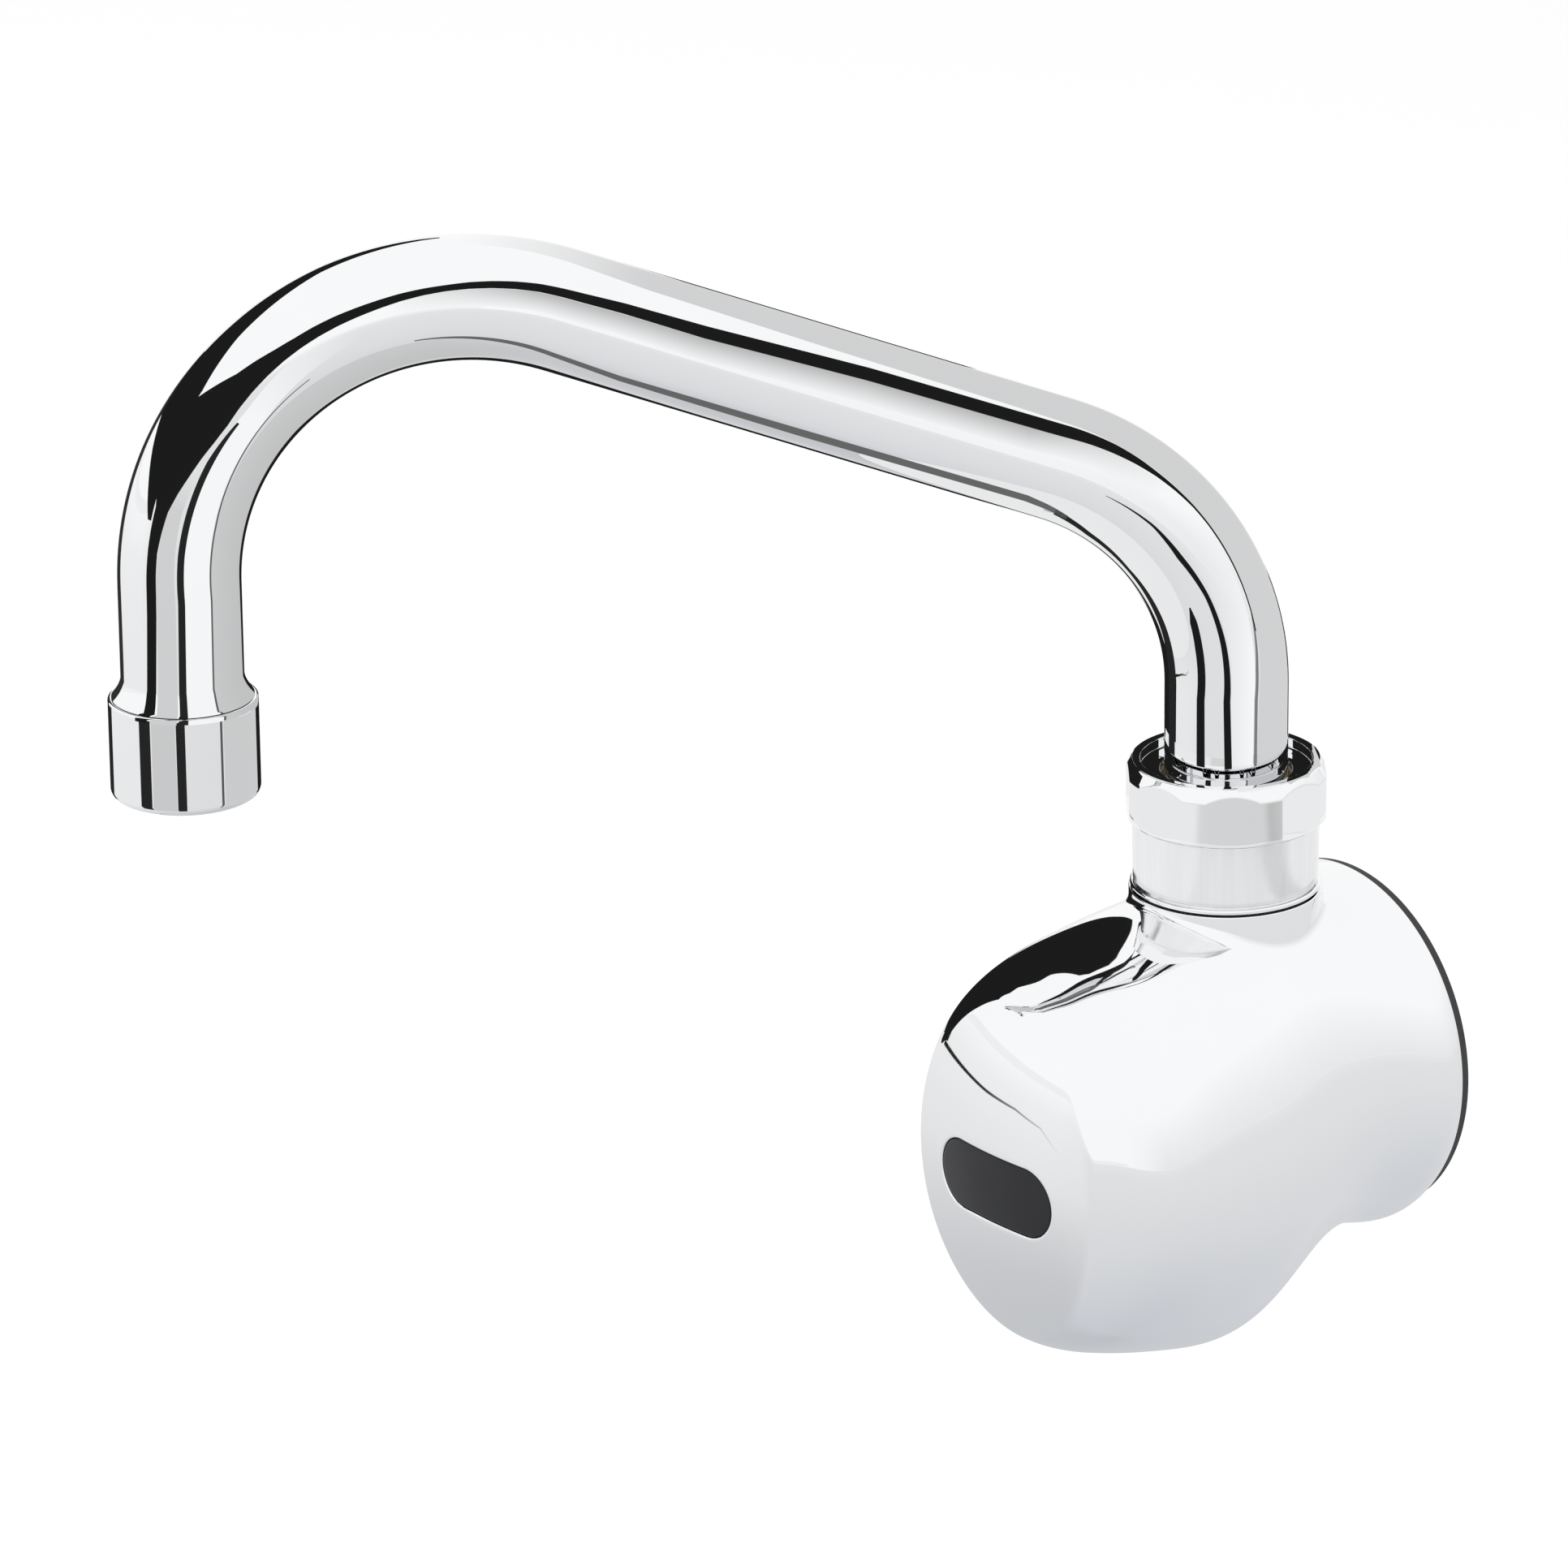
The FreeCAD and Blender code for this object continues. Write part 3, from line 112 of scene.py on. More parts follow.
# ---------------------------------------------------------------------------------------------
# Sizes, finishes and stage that a user may change
# ---------------------------------------------------------------------------------------------
def length(name, millimetres, description):
    """A length property, given in millimetres and held in metres."""
    return FloatProperty(name=name, description=description, default=millimetres * MM,
                         precision=5, unit="LENGTH")


def angle(name, degrees, description):
    """An angle property, given in degrees."""
    return FloatProperty(name=name, description=description, default=math.radians(degrees),
                         unit="ROTATION")


def colour(name, red, green, blue, description):
    """A colour property."""
    return FloatVectorProperty(name=name, description=description, subtype="COLOR", size=3,
                               min=0.0, max=1.0, default=(red, green, blue))


def share(name, value, description, most=1.0):
    """A plain number from 0 to a limit."""
    return FloatProperty(name=name, description=description, default=value, min=0.0, max=most)


class TapCastingSizes(PropertyGroup):
    """The cast body and its window"""
    face_dome: length("Front dome", 78.0, "Radius of the gently domed front face")
    face_edge: length("Front edge", 4.2, "Rounding between the front face and the sides")
    body_depth: length("Depth", 73.3, "Wall face to the front of the body")
    dome_height: length("Dome centre", -5.9, "Height of the dome's centre from the flange centre")
    wall: length("Casting wall", 3.2, "Wall of the casting")
    front_wall: length("Front wall", 6.4, "Wall behind the front face")
    flange_round: length("Flange edge", 0.35, "Rounding of the flange at the wall")
    recess: length("Plate recess", 25.35, "Radius of the recess for the back plate")
    ledge: length("Plate ledge", 1.6, "Ledge that the back plate rests on")
    neck_radius: length("Land", 15.1, "Radius of the raised land under the spout")
    neck_blend: length("Land fillet", 2.6, "Fillet between the land and the casting")
    neck_bore: length("Land bore", 10.45, "Bore for the adapter's tail")
    land_height: length("Land top", 31.3, "Top of the land above the flange centre")
    window_place: length("Window place", 7.8, "Middle of the window below the flange centre")
    window_half: length("Window half length", 13.3, "Half length of the window")
    window_radius: length("Window half height", 5.6, "Half height of the window")
    window_inset: length("Window inset", 0.15, "Window's face behind the metal")
    window_gap: length("Window gap", 0.06, "Joint between the window and the metal")
    window_round: length("Window round", 0.3, "Rounding of the window's edge and of its opening")


class TapStemSizes(PropertyGroup):
    """Adapter, base ring and swivel nut on the stem"""
    stem_depth: length("Stem depth", 26.0, "Wall face to the stem axis")
    band_draft: length("Band draft", 0.15, "How much the adapter's band narrows downwards")
    band_round: length("Band edge", 0.3, "Rounding of the adapter's edges")
    ring_round: length("Ring edge", 0.3, "Rounding of the base ring")
    adapter_tail: length("Tail radius", 10.4, "Adapter's tail")
    adapter_bore: length("Waterway", 5.5, "Water passage in the adapter")
    adapter_thread: length("Upper thread", 13.2, "Adapter's upper thread")
    adapter_socket: length("Socket", 11.5, "Adapter's socket for the stem")
    nut_corner: length("Nut corners", 15.9, "Radius of the nut's turned corners")
    nut_flats: length("Nut flats", 30.6, "Distance across two flats of the nut")
    nut_turn: angle("Nut turn", 53.8, "Angle of the nut's flats about the stem")
    nut_chamfer: length("Nut chamfer", 1.2, "Width of the nut's top chamfer")
    nut_chamfer_height: length("Nut chamfer height", 2.1, "Height of the nut's top chamfer")
    nut_foot: length("Nut foot", 0.9, "Height of the nut's lower chamfer")
    nut_rim: length("Nut rim", 1.3, "Width of the nut's top rim")
    nut_lip: length("Nut lip", 0.7, "Thickness of the nut's inner lip")
    nut_recess: length("Nut recess", 1.8, "Depth of the recess above the lip")
    nut_mouth: length("Nut mouth", 10.3, "Radius of the opening in the nut's lip")
    nut_bore: length("Nut bore", 13.25, "Bore of the nut")
    nut_edge: length("Nut edge", 0.12, "Rounding of the nut's edges")


class TapSpoutSizes(PropertyGroup):
    """Bent tube and aerator collar"""
    tube_radius: length("Tube", 9.6, "Outside radius of the tube")
    tube_wall: length("Tube wall", 1.0, "Wall of the tube")
    reach: length("Reach", 161.4, "Stem axis to outlet axis")
    crest: length("Crest", 128.2, "Highest point of the tube's axis")
    rise: angle("Rise", 18.1, "Slope of the straight run")
    near_bend: length("Near bend", 38.4, "Radius of the bend over the stem")
    far_bend: length("Far bend", 45.5, "Radius of the bend over the outlet")
    heading: angle("Heading", 232.4, "Direction of the spout, from +X towards +Y")
    flare_height: length("Flare height", 3.6, "Flare above the collar")
    flare_radius: length("Flare", 11.1, "Flare's lower edge")
    outlet_thread: length("Outlet thread", 10.6, "Thread inside the collar")
    collar_round: length("Collar round", 2.6, "Rounding at the bottom of the collar")
    collar_edge: length("Collar edge", 0.4, "Rounding at the top of the collar")
    collar_lip: length("Collar lip", 1.6, "Lip under the screens")
    collar_mouth: length("Collar mouth", 8.8, "Opening in the lip")
    collar_bore: length("Collar bore", 10.65, "Bore of the collar")
    wire: length("Screen wire", 0.1, "Radius of the screens' wire")
    wire_pitch: length("Wire pitch", 0.95, "Distance between two wires")


class TapInletSizes(PropertyGroup):
    """Elbow behind the body and the plate's screws"""
    barrel: length("Elbow", 12.8, "Outside radius of the elbow")
    thread_crest: length("Thread crest", 9.3, "Radius at the crests of the inlet's thread")
    thread_depth: length("Thread depth", 1.16, "Depth of the inlet's thread")
    thread_pitch: length("Thread pitch", 1.814, "Pitch of the inlet's thread")
    thread_length: length("Thread length", 13.0, "Length of the inlet's thread")
    washer_seat: length("Washer seat", 8.9, "Radius of the washer's seat")
    screw_head: length("Screw head", 2.75, "Radius of the plate screws' heads")
    screw_shank: length("Screw shank", 1.5, "Radius of the plate screws' shanks")
    head_height: length("Head height", 1.8, "Height of the plate screws' heads")
    cross_arm: length("Cross recess", 1.45, "Half length of the cross recess")
    cross_slot: length("Cross slot", 0.34, "Half width of the cross recess")
    cross_depth: length("Cross depth", 1.2, "Depth of the cross recess")


class TapFinishes(PropertyGroup):
    """Colours and gloss of the tap"""
    chrome: colour("Chrome", 0.93, 0.935, 0.945, "Bright chrome")
    chrome_gloss: share("Chrome roughness", 0.025, "Roughness of the polished chrome")
    satin: colour("Satin chrome", 0.86, 0.865, 0.875, "Turned adapter")
    brass: colour("Brass", 0.78, 0.57, 0.27, "Raw machined brass")
    steel: colour("Stainless steel", 0.62, 0.61, 0.59, "Screws, strainer and screens")
    zinc: colour("Zinc plate", 0.60, 0.62, 0.64, "Zinc-plated back plate")
    rubber: colour("Rubber", 0.028, 0.028, 0.030, "Seals and grommet")
    fibre: colour("Fibre", 0.42, 0.10, 0.05, "Fibre washer")
    window: colour("Window", 0.017, 0.017, 0.019, "Smoked sensor window")
    black_plastic: colour("Black plastic", 0.022, 0.022, 0.024, "Sensor housing")
    white_plastic: colour("White plastic", 0.78, 0.78, 0.75, "Glide rings and insert")
    board: colour("Board", 0.02, 0.16, 0.07, "Circuit board")
    lens: colour("Clear lens", 0.75, 0.77, 0.80, "Infrared emitter")
    dark_lens: colour("Dark lens", 0.03, 0.025, 0.04, "Infrared receiver")


class TapStage(PropertyGroup):
    """Camera, floor and light"""
    lens: FloatProperty(name="Lens", description="Focal length in millimetres",
                        default=223.6, min=1.0, unit="CAMERA")
    azimuth: angle("Azimuth", 52.4, "Camera to the right of straight out of the wall")
    elevation: angle("Elevation", 20.1, "Camera above the horizon")
    roll: angle("Roll", 0.61, "Camera's turn about its own axis")
    distance: length("Distance", 1543.2, "Camera to the wall inlet, along its axis")
    aside: length("Aside", -89.2, "Camera to the right of the wall inlet")
    up: length("Up", 40.2, "Camera above the wall inlet, in its own frame")
    floor_height: length("Floor", -130.0, "Height of the floor")
    floor: colour("Floor", 0.80, 0.80, 0.80, "Pale floor")
    floor_glow: share("Floor glow", 0.27, "White added to the floor where it is looked at")
    world: share("World", 0.80, "Strength of the plain white surroundings on the object")
    lamp: share("Lamp", 9.0, "Power of the soft lamp, in watts", 1000.0)


# ---------------------------------------------------------------------------------------------
# Meshes
# ---------------------------------------------------------------------------------------------
def grid_faces(rows, columns, joined_rows, joined_columns=True):
    """Faces between rows of points; joined rows or columns also close round the back."""
    faces = []
    for row in range(rows if joined_rows else rows - 1):
        low, high = row * columns, (row + 1) % rows * columns
        for k in range(columns if joined_columns else columns - 1):
            following = (k + 1) % columns
            faces.append((low + k, low + following, high + following, high + k))
    return faces


def add_object(name, data):
    """A new object in the scene."""
    thing = bpy.data.objects.new(name, data)
    bpy.context.scene.collection.objects.link(thing)
    return thing


class Shell:
    """Collects skins of rings into one mesh."""

    def __init__(self):
        self.points, self.faces = [], []

    def skin(self, rings, closed=True, caps=False):
        """Add rings as one skin; caps fill the first and the last ring."""
        start, around = len(self.points), len(rings[0])
        for ring in rings:
            self.points.extend(tuple(float(c) for c in point) for point in ring)
        self.faces.extend(tuple(start + k for k in face)
                          for face in grid_faces(len(rings), around, closed and not caps))
        if caps:
            last = start + (len(rings) - 1) * around
            self.faces.append(tuple(range(start + around - 1, start - 1, -1)))
            self.faces.append(tuple(range(last, last + around)))
        return self

    def piece(self, name, body, slot, node, crease=35.0, even=True):
        """Make the object, stand it on its body and let it take the place of a CAD node."""
        mesh = bpy.data.meshes.new(name)
        mesh.from_pydata(self.points, [], self.faces)
        soft = bmesh.new()
        soft.from_mesh(mesh)
        bmesh.ops.remove_doubles(soft, verts=soft.verts, dist=MERGED)
        bmesh.ops.recalc_face_normals(soft, faces=soft.faces)
        soft.to_mesh(mesh)
        soft.free()
        mesh.shade_smooth()
        mesh.set_sharp_from_angle(angle=math.radians(crease))
        thing = add_object(name, mesh)
        if even:
            shading = thing.modifiers.new("Even shading", "WEIGHTED_NORMAL")
            shading.keep_sharp = True
            shading.weight = 80
        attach(thing, body)
        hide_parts(node)
        put_finish(thing, slot)


def turns(count):
    """Angles once round, without the last."""
    return np.arange(count) * (2 * math.pi / count)


def last_place(low, high, holds):
    """The last place between two, or between two rows of them, up to which a test holds."""
    for _ in range(SOLVE_STEPS):
        middle = (low + high) / 2
        kept = holds(middle)
        low, high = np.where(kept, middle, low), np.where(kept, high, middle)
    return low


def sweep(first, last, swing, part):
    """Direction a part of the way from one direction to another, which is swing away."""
    return (first * np.sin((1 - part) * swing) + last * np.sin(part * swing)) / np.sin(swing)


def quarter_round(radius, start=0):
    """Steps over a rounded edge: how far in from the side and how far below the top."""
    swings = [math.pi / 2 * step / CORNER_STEPS for step in range(start, CORNER_STEPS + 1)]
    return [(radius * (1 - math.sin(swing)), radius * (1 - math.cos(swing))) for swing in swings]


def rounded_outline(corners, steps=CORNER_STEPS):
    """A closed outline; each corner is (across, along, rounding)."""
    outline = []
    for k, (across, along, rounding) in enumerate(corners):
        here = Vector((across, along))
        if rounding <= 0:
            outline.append(tuple(here))
            continue
        before = Vector(corners[k - 1][:2]) - here
        after = Vector(corners[(k + 1) % len(corners)][:2]) - here
        opening = before.angle(after)
        back = min(rounding / math.tan(opening / 2), before.length * 0.49, after.length * 0.49)
        start, end = here + before.normalized() * back, here + after.normalized() * back
        inwards = ((start + end) / 2 - here).normalized()
        centre = here + inwards * (back / math.cos(opening / 2))
        first, last = start - centre, end - centre
        swing = first.angle(last)
        for part in np.linspace(0, 1, steps + 1):
            outline.append(tuple(centre + sweep(first, last, swing, part) if swing > 1e-6
                                 else start.lerp(end, part)))
    return outline


def turned_rings(outline, centre, swing=turns(ROUND)):
    """Rings of an outline of (radius, height) turned about an upright axis."""
    return [np.stack([centre[0] + radius * np.cos(swing), centre[1] + radius * np.sin(swing),
                      height + 0 * swing], axis=1) for radius, height in outline]


def turned_from_wall(outline, swing, across=0.0):
    """Rings of an outline of (radius, depth) turned about an axis out of the wall."""
    return [np.stack([across + radius * np.cos(swing), 0 * swing - depth,
                      radius * np.sin(swing)], axis=1) for radius, depth in outline]


class Curve:
    """A natural cubic spline through values at rising places."""

    def __init__(self, places, values):
        self.x = np.array(places, float)
        self.y = np.array(values, float)
        steps = np.diff(self.x)
        slopes = np.diff(self.y) / steps
        count = len(self.x)
        table = np.eye(count)
        right = np.zeros(count)
        for k in range(1, count - 1):
            table[k, k - 1:k + 2] = steps[k - 1], 2 * (steps[k - 1] + steps[k]), steps[k]
            right[k] = 6 * (slopes[k] - slopes[k - 1])
        self.bend = np.linalg.solve(table, right)

    def at(self, place, slope=False):
        """Value, or slope, at a place."""
        place = np.asarray(place, float)
        k = np.clip(np.searchsorted(self.x, place) - 1, 0, len(self.x) - 2)
        step = self.x[k + 1] - self.x[k]
        low, high = (self.x[k + 1] - place) / step, (place - self.x[k]) / step
        if slope:
            return ((self.y[k + 1] - self.y[k]) / step
                    - (3 * low ** 2 - 1) * step * self.bend[k] / 6
                    + (3 * high ** 2 - 1) * step * self.bend[k + 1] / 6)
        return (low * self.y[k] + high * self.y[k + 1]
                + ((low ** 3 - low) * self.bend[k]
                   + (high ** 3 - high) * self.bend[k + 1]) * step ** 2 / 6)


class Casting:
    """The smooth outside of the casting through its cross-sections."""

    def __init__(self):
        table = np.array(CASTING_SECTIONS) * MM
        depth, half, top, drop = table.T
        self.half = Curve(depth, half)
        self.middle = Curve(depth, (top - drop) / 2)
        self.rise = Curve(depth, (top + drop) / 2)

    def point(self, depth, turn):
        """Point of the outside at a depth and an angle."""
        return np.stack([self.half.at(depth) * np.cos(turn), -depth,
                         self.middle.at(depth) + self.rise.at(depth) * np.sin(turn)], axis=-1)

    def normal(self, depth, turn):
        """Outward direction at a depth and an angle."""
        across, along = np.cos(turn), np.sin(turn)
        half, rise = self.half.at(depth), self.rise.at(depth)
        forward = np.stack([self.half.at(depth, True) * across, -np.ones_like(depth),
                            self.middle.at(depth, True) + self.rise.at(depth, True) * along],
                           axis=-1)
        round_it = np.stack([-half * along, np.zeros_like(depth), rise * across], axis=-1)
        way = np.cross(forward, round_it)
        way /= np.linalg.norm(way, axis=-1, keepdims=True)
        return np.where(np.sum(way * np.stack([across, 0 * across, along], axis=-1),
                               axis=-1, keepdims=True) < 0, -way, way)

    def first_gap(self, point):
        """A first guess of gap()."""
        x, y, z = point
        depth = -y
        half, rise = float(self.half.at(depth)), float(self.rise.at(depth))
        lift = z - float(self.middle.at(depth))
        value = (x / half) ** 2 + (lift / rise) ** 2 - 1
        by_depth = (-2 * x ** 2 / half ** 3 * float(self.half.at(depth, True))
                    - 2 * lift / rise ** 2 * float(self.middle.at(depth, True))
                    - 2 * lift ** 2 / rise ** 3 * float(self.rise.at(depth, True)))
        way = Vector((2 * x / half ** 2, -by_depth, 2 * lift / rise ** 2))
        return value / way.length, way.normalized()

    def gap(self, point):
        """How far a point near the outside is from it, and the outward direction there."""
        foot = Vector(point)
        for _ in range(3):
            distance, way = self.first_gap(foot)
            foot -= way * distance
        way = self.first_gap(foot)[1]
        return (Vector(point) - foot).dot(way), way


def window_loop(sizes, radius, count):
    """Points round the window's slot shape, evenly spaced, from its right end."""
    straight, corner = sizes.window_half - sizes.window_radius, radius * math.pi / 2
    quarter = straight + corner
    loop = []
    for k in range(count):
        side, rest = divmod(4 * quarter * k / count, quarter)
        if side % 2:
            rest = quarter - rest
        if rest <= corner:
            swing = rest / radius
            across, up = straight + radius * math.cos(swing), radius * math.sin(swing)
        else:
            across, up = straight - (rest - corner), radius
        loop.append((-across if side in (1, 2) else across,
                     (-up if side in (2, 3) else up) - sizes.window_place))
    return np.array(loop)


def on_dome(places, radius, centre):
    """Points of the dome over places on the front."""
    across, up = places.T
    out = np.sqrt(radius ** 2 - across ** 2 - (up - centre[2]) ** 2)
    return np.stack([across, centre[1] - out, up], axis=-1)



# ---------------------------------------------------------------------------------------------
# Finishes
# ---------------------------------------------------------------------------------------------
FINISH_PREFIX = "tap_"
NOISE_LOW, NOISE_HIGH = 0.3, 0.7    # where nearly all of a noise texture's values lie


class Finish:
    """A procedural material in the making."""

    def __init__(self, name, tint, roughness, metallic=0.0):
        self.material = bpy.data.materials.new(FINISH_PREFIX + name)
        self.material.use_nodes = True
        self.tree = self.material.node_tree
        self.shader = self.tree.nodes["Principled BSDF"]
        self.shader.inputs["Base Color"].default_value = (*tint, 1.0)
        self.shader.inputs["Roughness"].default_value = roughness
        self.shader.inputs["Metallic"].default_value = metallic
        self.place = self.tree.nodes.new("ShaderNodeTexCoord").outputs["Object"]
        self.tint, self.roughness = tint, roughness

    def noise(self, scale, stretch=(1.0, 1.0, 1.0), detail=3.0):
        """Noise of so many cells per metre, stretched along the axes."""
        mapping = self.tree.nodes.new("ShaderNodeMapping")
        mapping.inputs["Scale"].default_value = stretch
        texture = self.tree.nodes.new("ShaderNodeTexNoise")
        texture.inputs["Scale"].default_value = scale
        texture.inputs["Detail"].default_value = detail
        self.tree.links.new(self.place, mapping.inputs["Vector"])
        self.tree.links.new(mapping.outputs["Vector"], texture.inputs["Vector"])
        return texture.outputs["Fac"]

    def spread(self, source, low, high):
        """A pattern spread over a range of values."""
        span = self.tree.nodes.new("ShaderNodeMapRange")
        for name, value in (("From Min", NOISE_LOW), ("From Max", NOISE_HIGH),
                            ("To Min", low), ("To Max", high)):
            span.inputs[name].default_value = value
        self.tree.links.new(source, span.inputs["Value"])
        return span.outputs["Result"]

    def vary_gloss(self, source, change):
        """Roughness that changes a little over the surface."""
        value = self.spread(source, max(0.0, self.roughness - change), self.roughness + change)
        self.tree.links.new(value, self.shader.inputs["Roughness"])

    def vary_tint(self, source, change):
        """Colour that is a little darker and lighter over the surface."""
        mix = self.tree.nodes.new("ShaderNodeMix")
        mix.data_type = "RGBA"
        mix.inputs["A"].default_value = (*[c * (1 - change) for c in self.tint], 1.0)
        mix.inputs["B"].default_value = (*[min(1.0, c * (1 + change)) for c in self.tint], 1.0)
        self.tree.links.new(self.spread(source, 0.0, 1.0), mix.inputs["Factor"])
        self.tree.links.new(mix.outputs["Result"], self.shader.inputs["Base Color"])

    def relief(self, source, height):
        """Fine relief of a height in metres."""
        bump = self.tree.nodes.new("ShaderNodeBump")
        bump.inputs["Strength"].default_value = 1.0
        bump.inputs["Distance"].default_value = height
        self.tree.links.new(source, bump.inputs["Height"])
        self.tree.links.new(bump.outputs["Normal"], self.shader.inputs["Normal"])


def chrome(name, tint, roughness, waviness):
    """Bright plating: nearly a mirror, with a breath of haze and the waviness of a buffed part."""
    finish = Finish(name, tint, roughness, 1.0)
    finish.vary_gloss(finish.noise(60.0, detail=4.0), roughness * 0.35)
    finish.vary_tint(finish.noise(25.0), 0.012)
    finish.relief(finish.noise(70.0, detail=1.0), waviness)
    return finish.material


def satin(name, tint):
    """Turned and plated band with a fine upright grain."""
    finish = Finish(name, tint, 0.20, 1.0)
    grain = finish.noise(900.0, (1.0, 1.0, 0.02), 2.0)
    finish.vary_gloss(grain, 0.07)
    finish.vary_tint(finish.noise(500.0, (1.0, 1.0, 0.03)), 0.03)
    finish.relief(grain, 0.000012)
    return finish.material


def machined(name, tint, roughness, stretch):
    """Bare or thinly plated metal with tool marks."""
    finish = Finish(name, tint, roughness, 1.0)
    marks = finish.noise(1600.0, stretch, 3.0)
    finish.vary_gloss(marks, 0.09)
    finish.vary_tint(finish.noise(180.0), 0.08)
    finish.relief(marks, 0.00001)
    return finish.material


def moulded(name, tint, roughness, grain_height):
    """Moulded rubber, plastic or pressed fibre."""
    finish = Finish(name, tint, roughness)
    grain = finish.noise(2600.0, detail=4.0)
    finish.vary_gloss(grain, 0.08)
    finish.vary_tint(finish.noise(300.0), 0.12)
    finish.relief(grain, grain_height)
    return finish.material


def smoked(name, tint):
    """Smoked window plastic: a dark, glossy, slightly wavy face."""
    finish = Finish(name, tint, 0.22)
    finish.shader.inputs["IOR"].default_value = 1.49
    finish.shader.inputs["Specular IOR Level"].default_value = 0.25
    finish.vary_gloss(finish.noise(400.0), 0.03)
    finish.vary_tint(finish.noise(120.0), 0.10)
    finish.relief(finish.noise(90.0, detail=1.0), 0.00001)
    return finish.material


def circuit(name, tint):
    """Solder mask with copper runs under it."""
    finish = Finish(name, tint, 0.35)
    runs = finish.noise(700.0, (1.0, 1.0, 0.15), 0.0)
    finish.vary_tint(runs, 0.35)
    finish.vary_gloss(finish.noise(900.0), 0.05)
    finish.relief(runs, 0.00002)
    return finish.material


def tap_finishes():
    """Every finish by its slot name, made once."""
    look = bpy.context.scene.tap_finishes
    made = {material.name[len(FINISH_PREFIX):]: material for material in bpy.data.materials
            if material.name.startswith(FINISH_PREFIX)}
    if made:
        return made
    gloss = look.chrome_gloss
    finishes = (
        chrome("chrome_body", look.chrome, gloss, 0.000012),
        chrome("chrome_spout", look.chrome, gloss * 0.8, 0.000006),
        chrome("chrome_trim", look.chrome, gloss * 1.3, 0.000004),
        satin("satin_metal", look.satin),
        machined("brass", look.brass, 0.26, (1.0, 1.0, 0.2)),
        machined("stainless", look.steel, 0.24, (1.0, 0.3, 1.0)),
        machined("zinc_plate", look.zinc, 0.34, (0.08, 1.0, 1.0)),
        moulded("black_rubber", look.rubber, 0.62, 0.00002),
        moulded("fibre", look.fibre, 0.75, 0.00003),
        smoked("window", look.window),
        moulded("black_plastic", look.black_plastic, 0.45, 0.00001),
        moulded("white_plastic", look.white_plastic, 0.38, 0.00001),
        circuit("board", look.board),
        moulded("clear_lens", look.lens, 0.18, 0.000002),
        moulded("dark_lens", look.dark_lens, 0.18, 0.000002),
    )
    return {finish.name[len(FINISH_PREFIX):]: finish for finish in finishes}


def put_finish(thing, slot):
    """Give an object the finish of a slot."""
    finish = tap_finishes()[slot]
    if thing.data.materials:
        for place in range(len(thing.material_slots)):
            thing.material_slots[place].material = finish
    else:
        thing.data.materials.append(finish)


# ---------------------------------------------------------------------------------------------
# Pieces
# ---------------------------------------------------------------------------------------------
def casting_front(sizes, shape, shell):
    """Outside, rounded front edge, dome, window opening and hollow of the casting."""
    around = turns(CASTING_ROUND)
    edge, dome = sizes.face_edge, sizes.face_dome
    centre = np.array([0.0, -(sizes.body_depth - dome), sizes.dome_height])
    start, rim = CASTING_SECTIONS[0][0] * MM, sizes.flange_round

    def ball(depth):
        return shape.point(depth, around) - edge * shape.normal(depth, around)

    front = last_place(np.full(CASTING_ROUND, FRONT_SEARCH),
                       np.full(CASTING_ROUND, CASTING_SECTIONS[-1][0] * MM),
                       lambda depth: np.linalg.norm(ball(depth) - centre, axis=1) < dome - edge)
    rings = []
    outwards = np.stack([np.cos(around), 0 * around, np.sin(around)], axis=1)
    for inset, back in quarter_round(rim):
        rings.append(shape.point(np.full(CASTING_ROUND, start + back), around) - outwards * inset)
    for row in range(1, CASTING_ROWS + 1):
        rings.append(shape.point(start + rim + (front - start - rim) * row / CASTING_ROWS, around))
    balls, outward = ball(front), shape.normal(front, around)
    forward = (balls - centre) / np.linalg.norm(balls - centre, axis=1, keepdims=True)
    swing = np.arccos(np.clip(np.sum(outward * forward, axis=1), -1, 1))[:, None]
    for step in range(1, FILLET_STEPS + 1):
        rings.append(balls + sweep(outward, forward, swing, step / FILLET_STEPS) * edge)

    def opening_loop(spare):
        return window_loop(sizes, sizes.window_radius + sizes.window_gap + spare, CASTING_ROUND)

    outer, inner = rings[-1][:, [0, 2]], opening_loop(sizes.window_round)
    for ring in range(1, DOME_RINGS + 1):
        part = ring / DOME_RINGS
        rings.append(on_dome(outer * (1 - part) + inner * part, dome, centre))
    for inset, back in quarter_round(sizes.window_round, 1):
        rings.append(on_dome(opening_loop(inset), dome, centre) + np.array([0.0, back, 0.0]))
    back = sizes.body_depth - sizes.front_wall
    across, up = opening_loop(0.0).T
    rings.append(np.stack([across, np.full(CASTING_ROUND, -back), up], axis=1))
    ledge, deepest = start + RECESS_DEPTH, back - HOLLOW_STEP
    for row in range(HOLLOW_ROWS + 1):
        depth = np.full(CASTING_ROUND, deepest + (ledge - deepest) * row / HOLLOW_ROWS)
        opened = np.clip((depth - ledge) / HOLLOW_OPENS, 0, 1)
        limit = sizes.recess - sizes.ledge + opened * NO_LIMIT
        half, rise = (np.minimum(curve.at(depth) - sizes.wall, limit)
                      for curve in (shape.half, shape.rise))
        rings.append(np.stack([half * np.cos(around), -depth, shape.middle.at(depth) * opened
                               + rise * np.sin(around)], axis=1))
    rings += turned_from_wall([(sizes.recess, ledge), (sizes.recess, start)], around)
    shell.skin(rings)


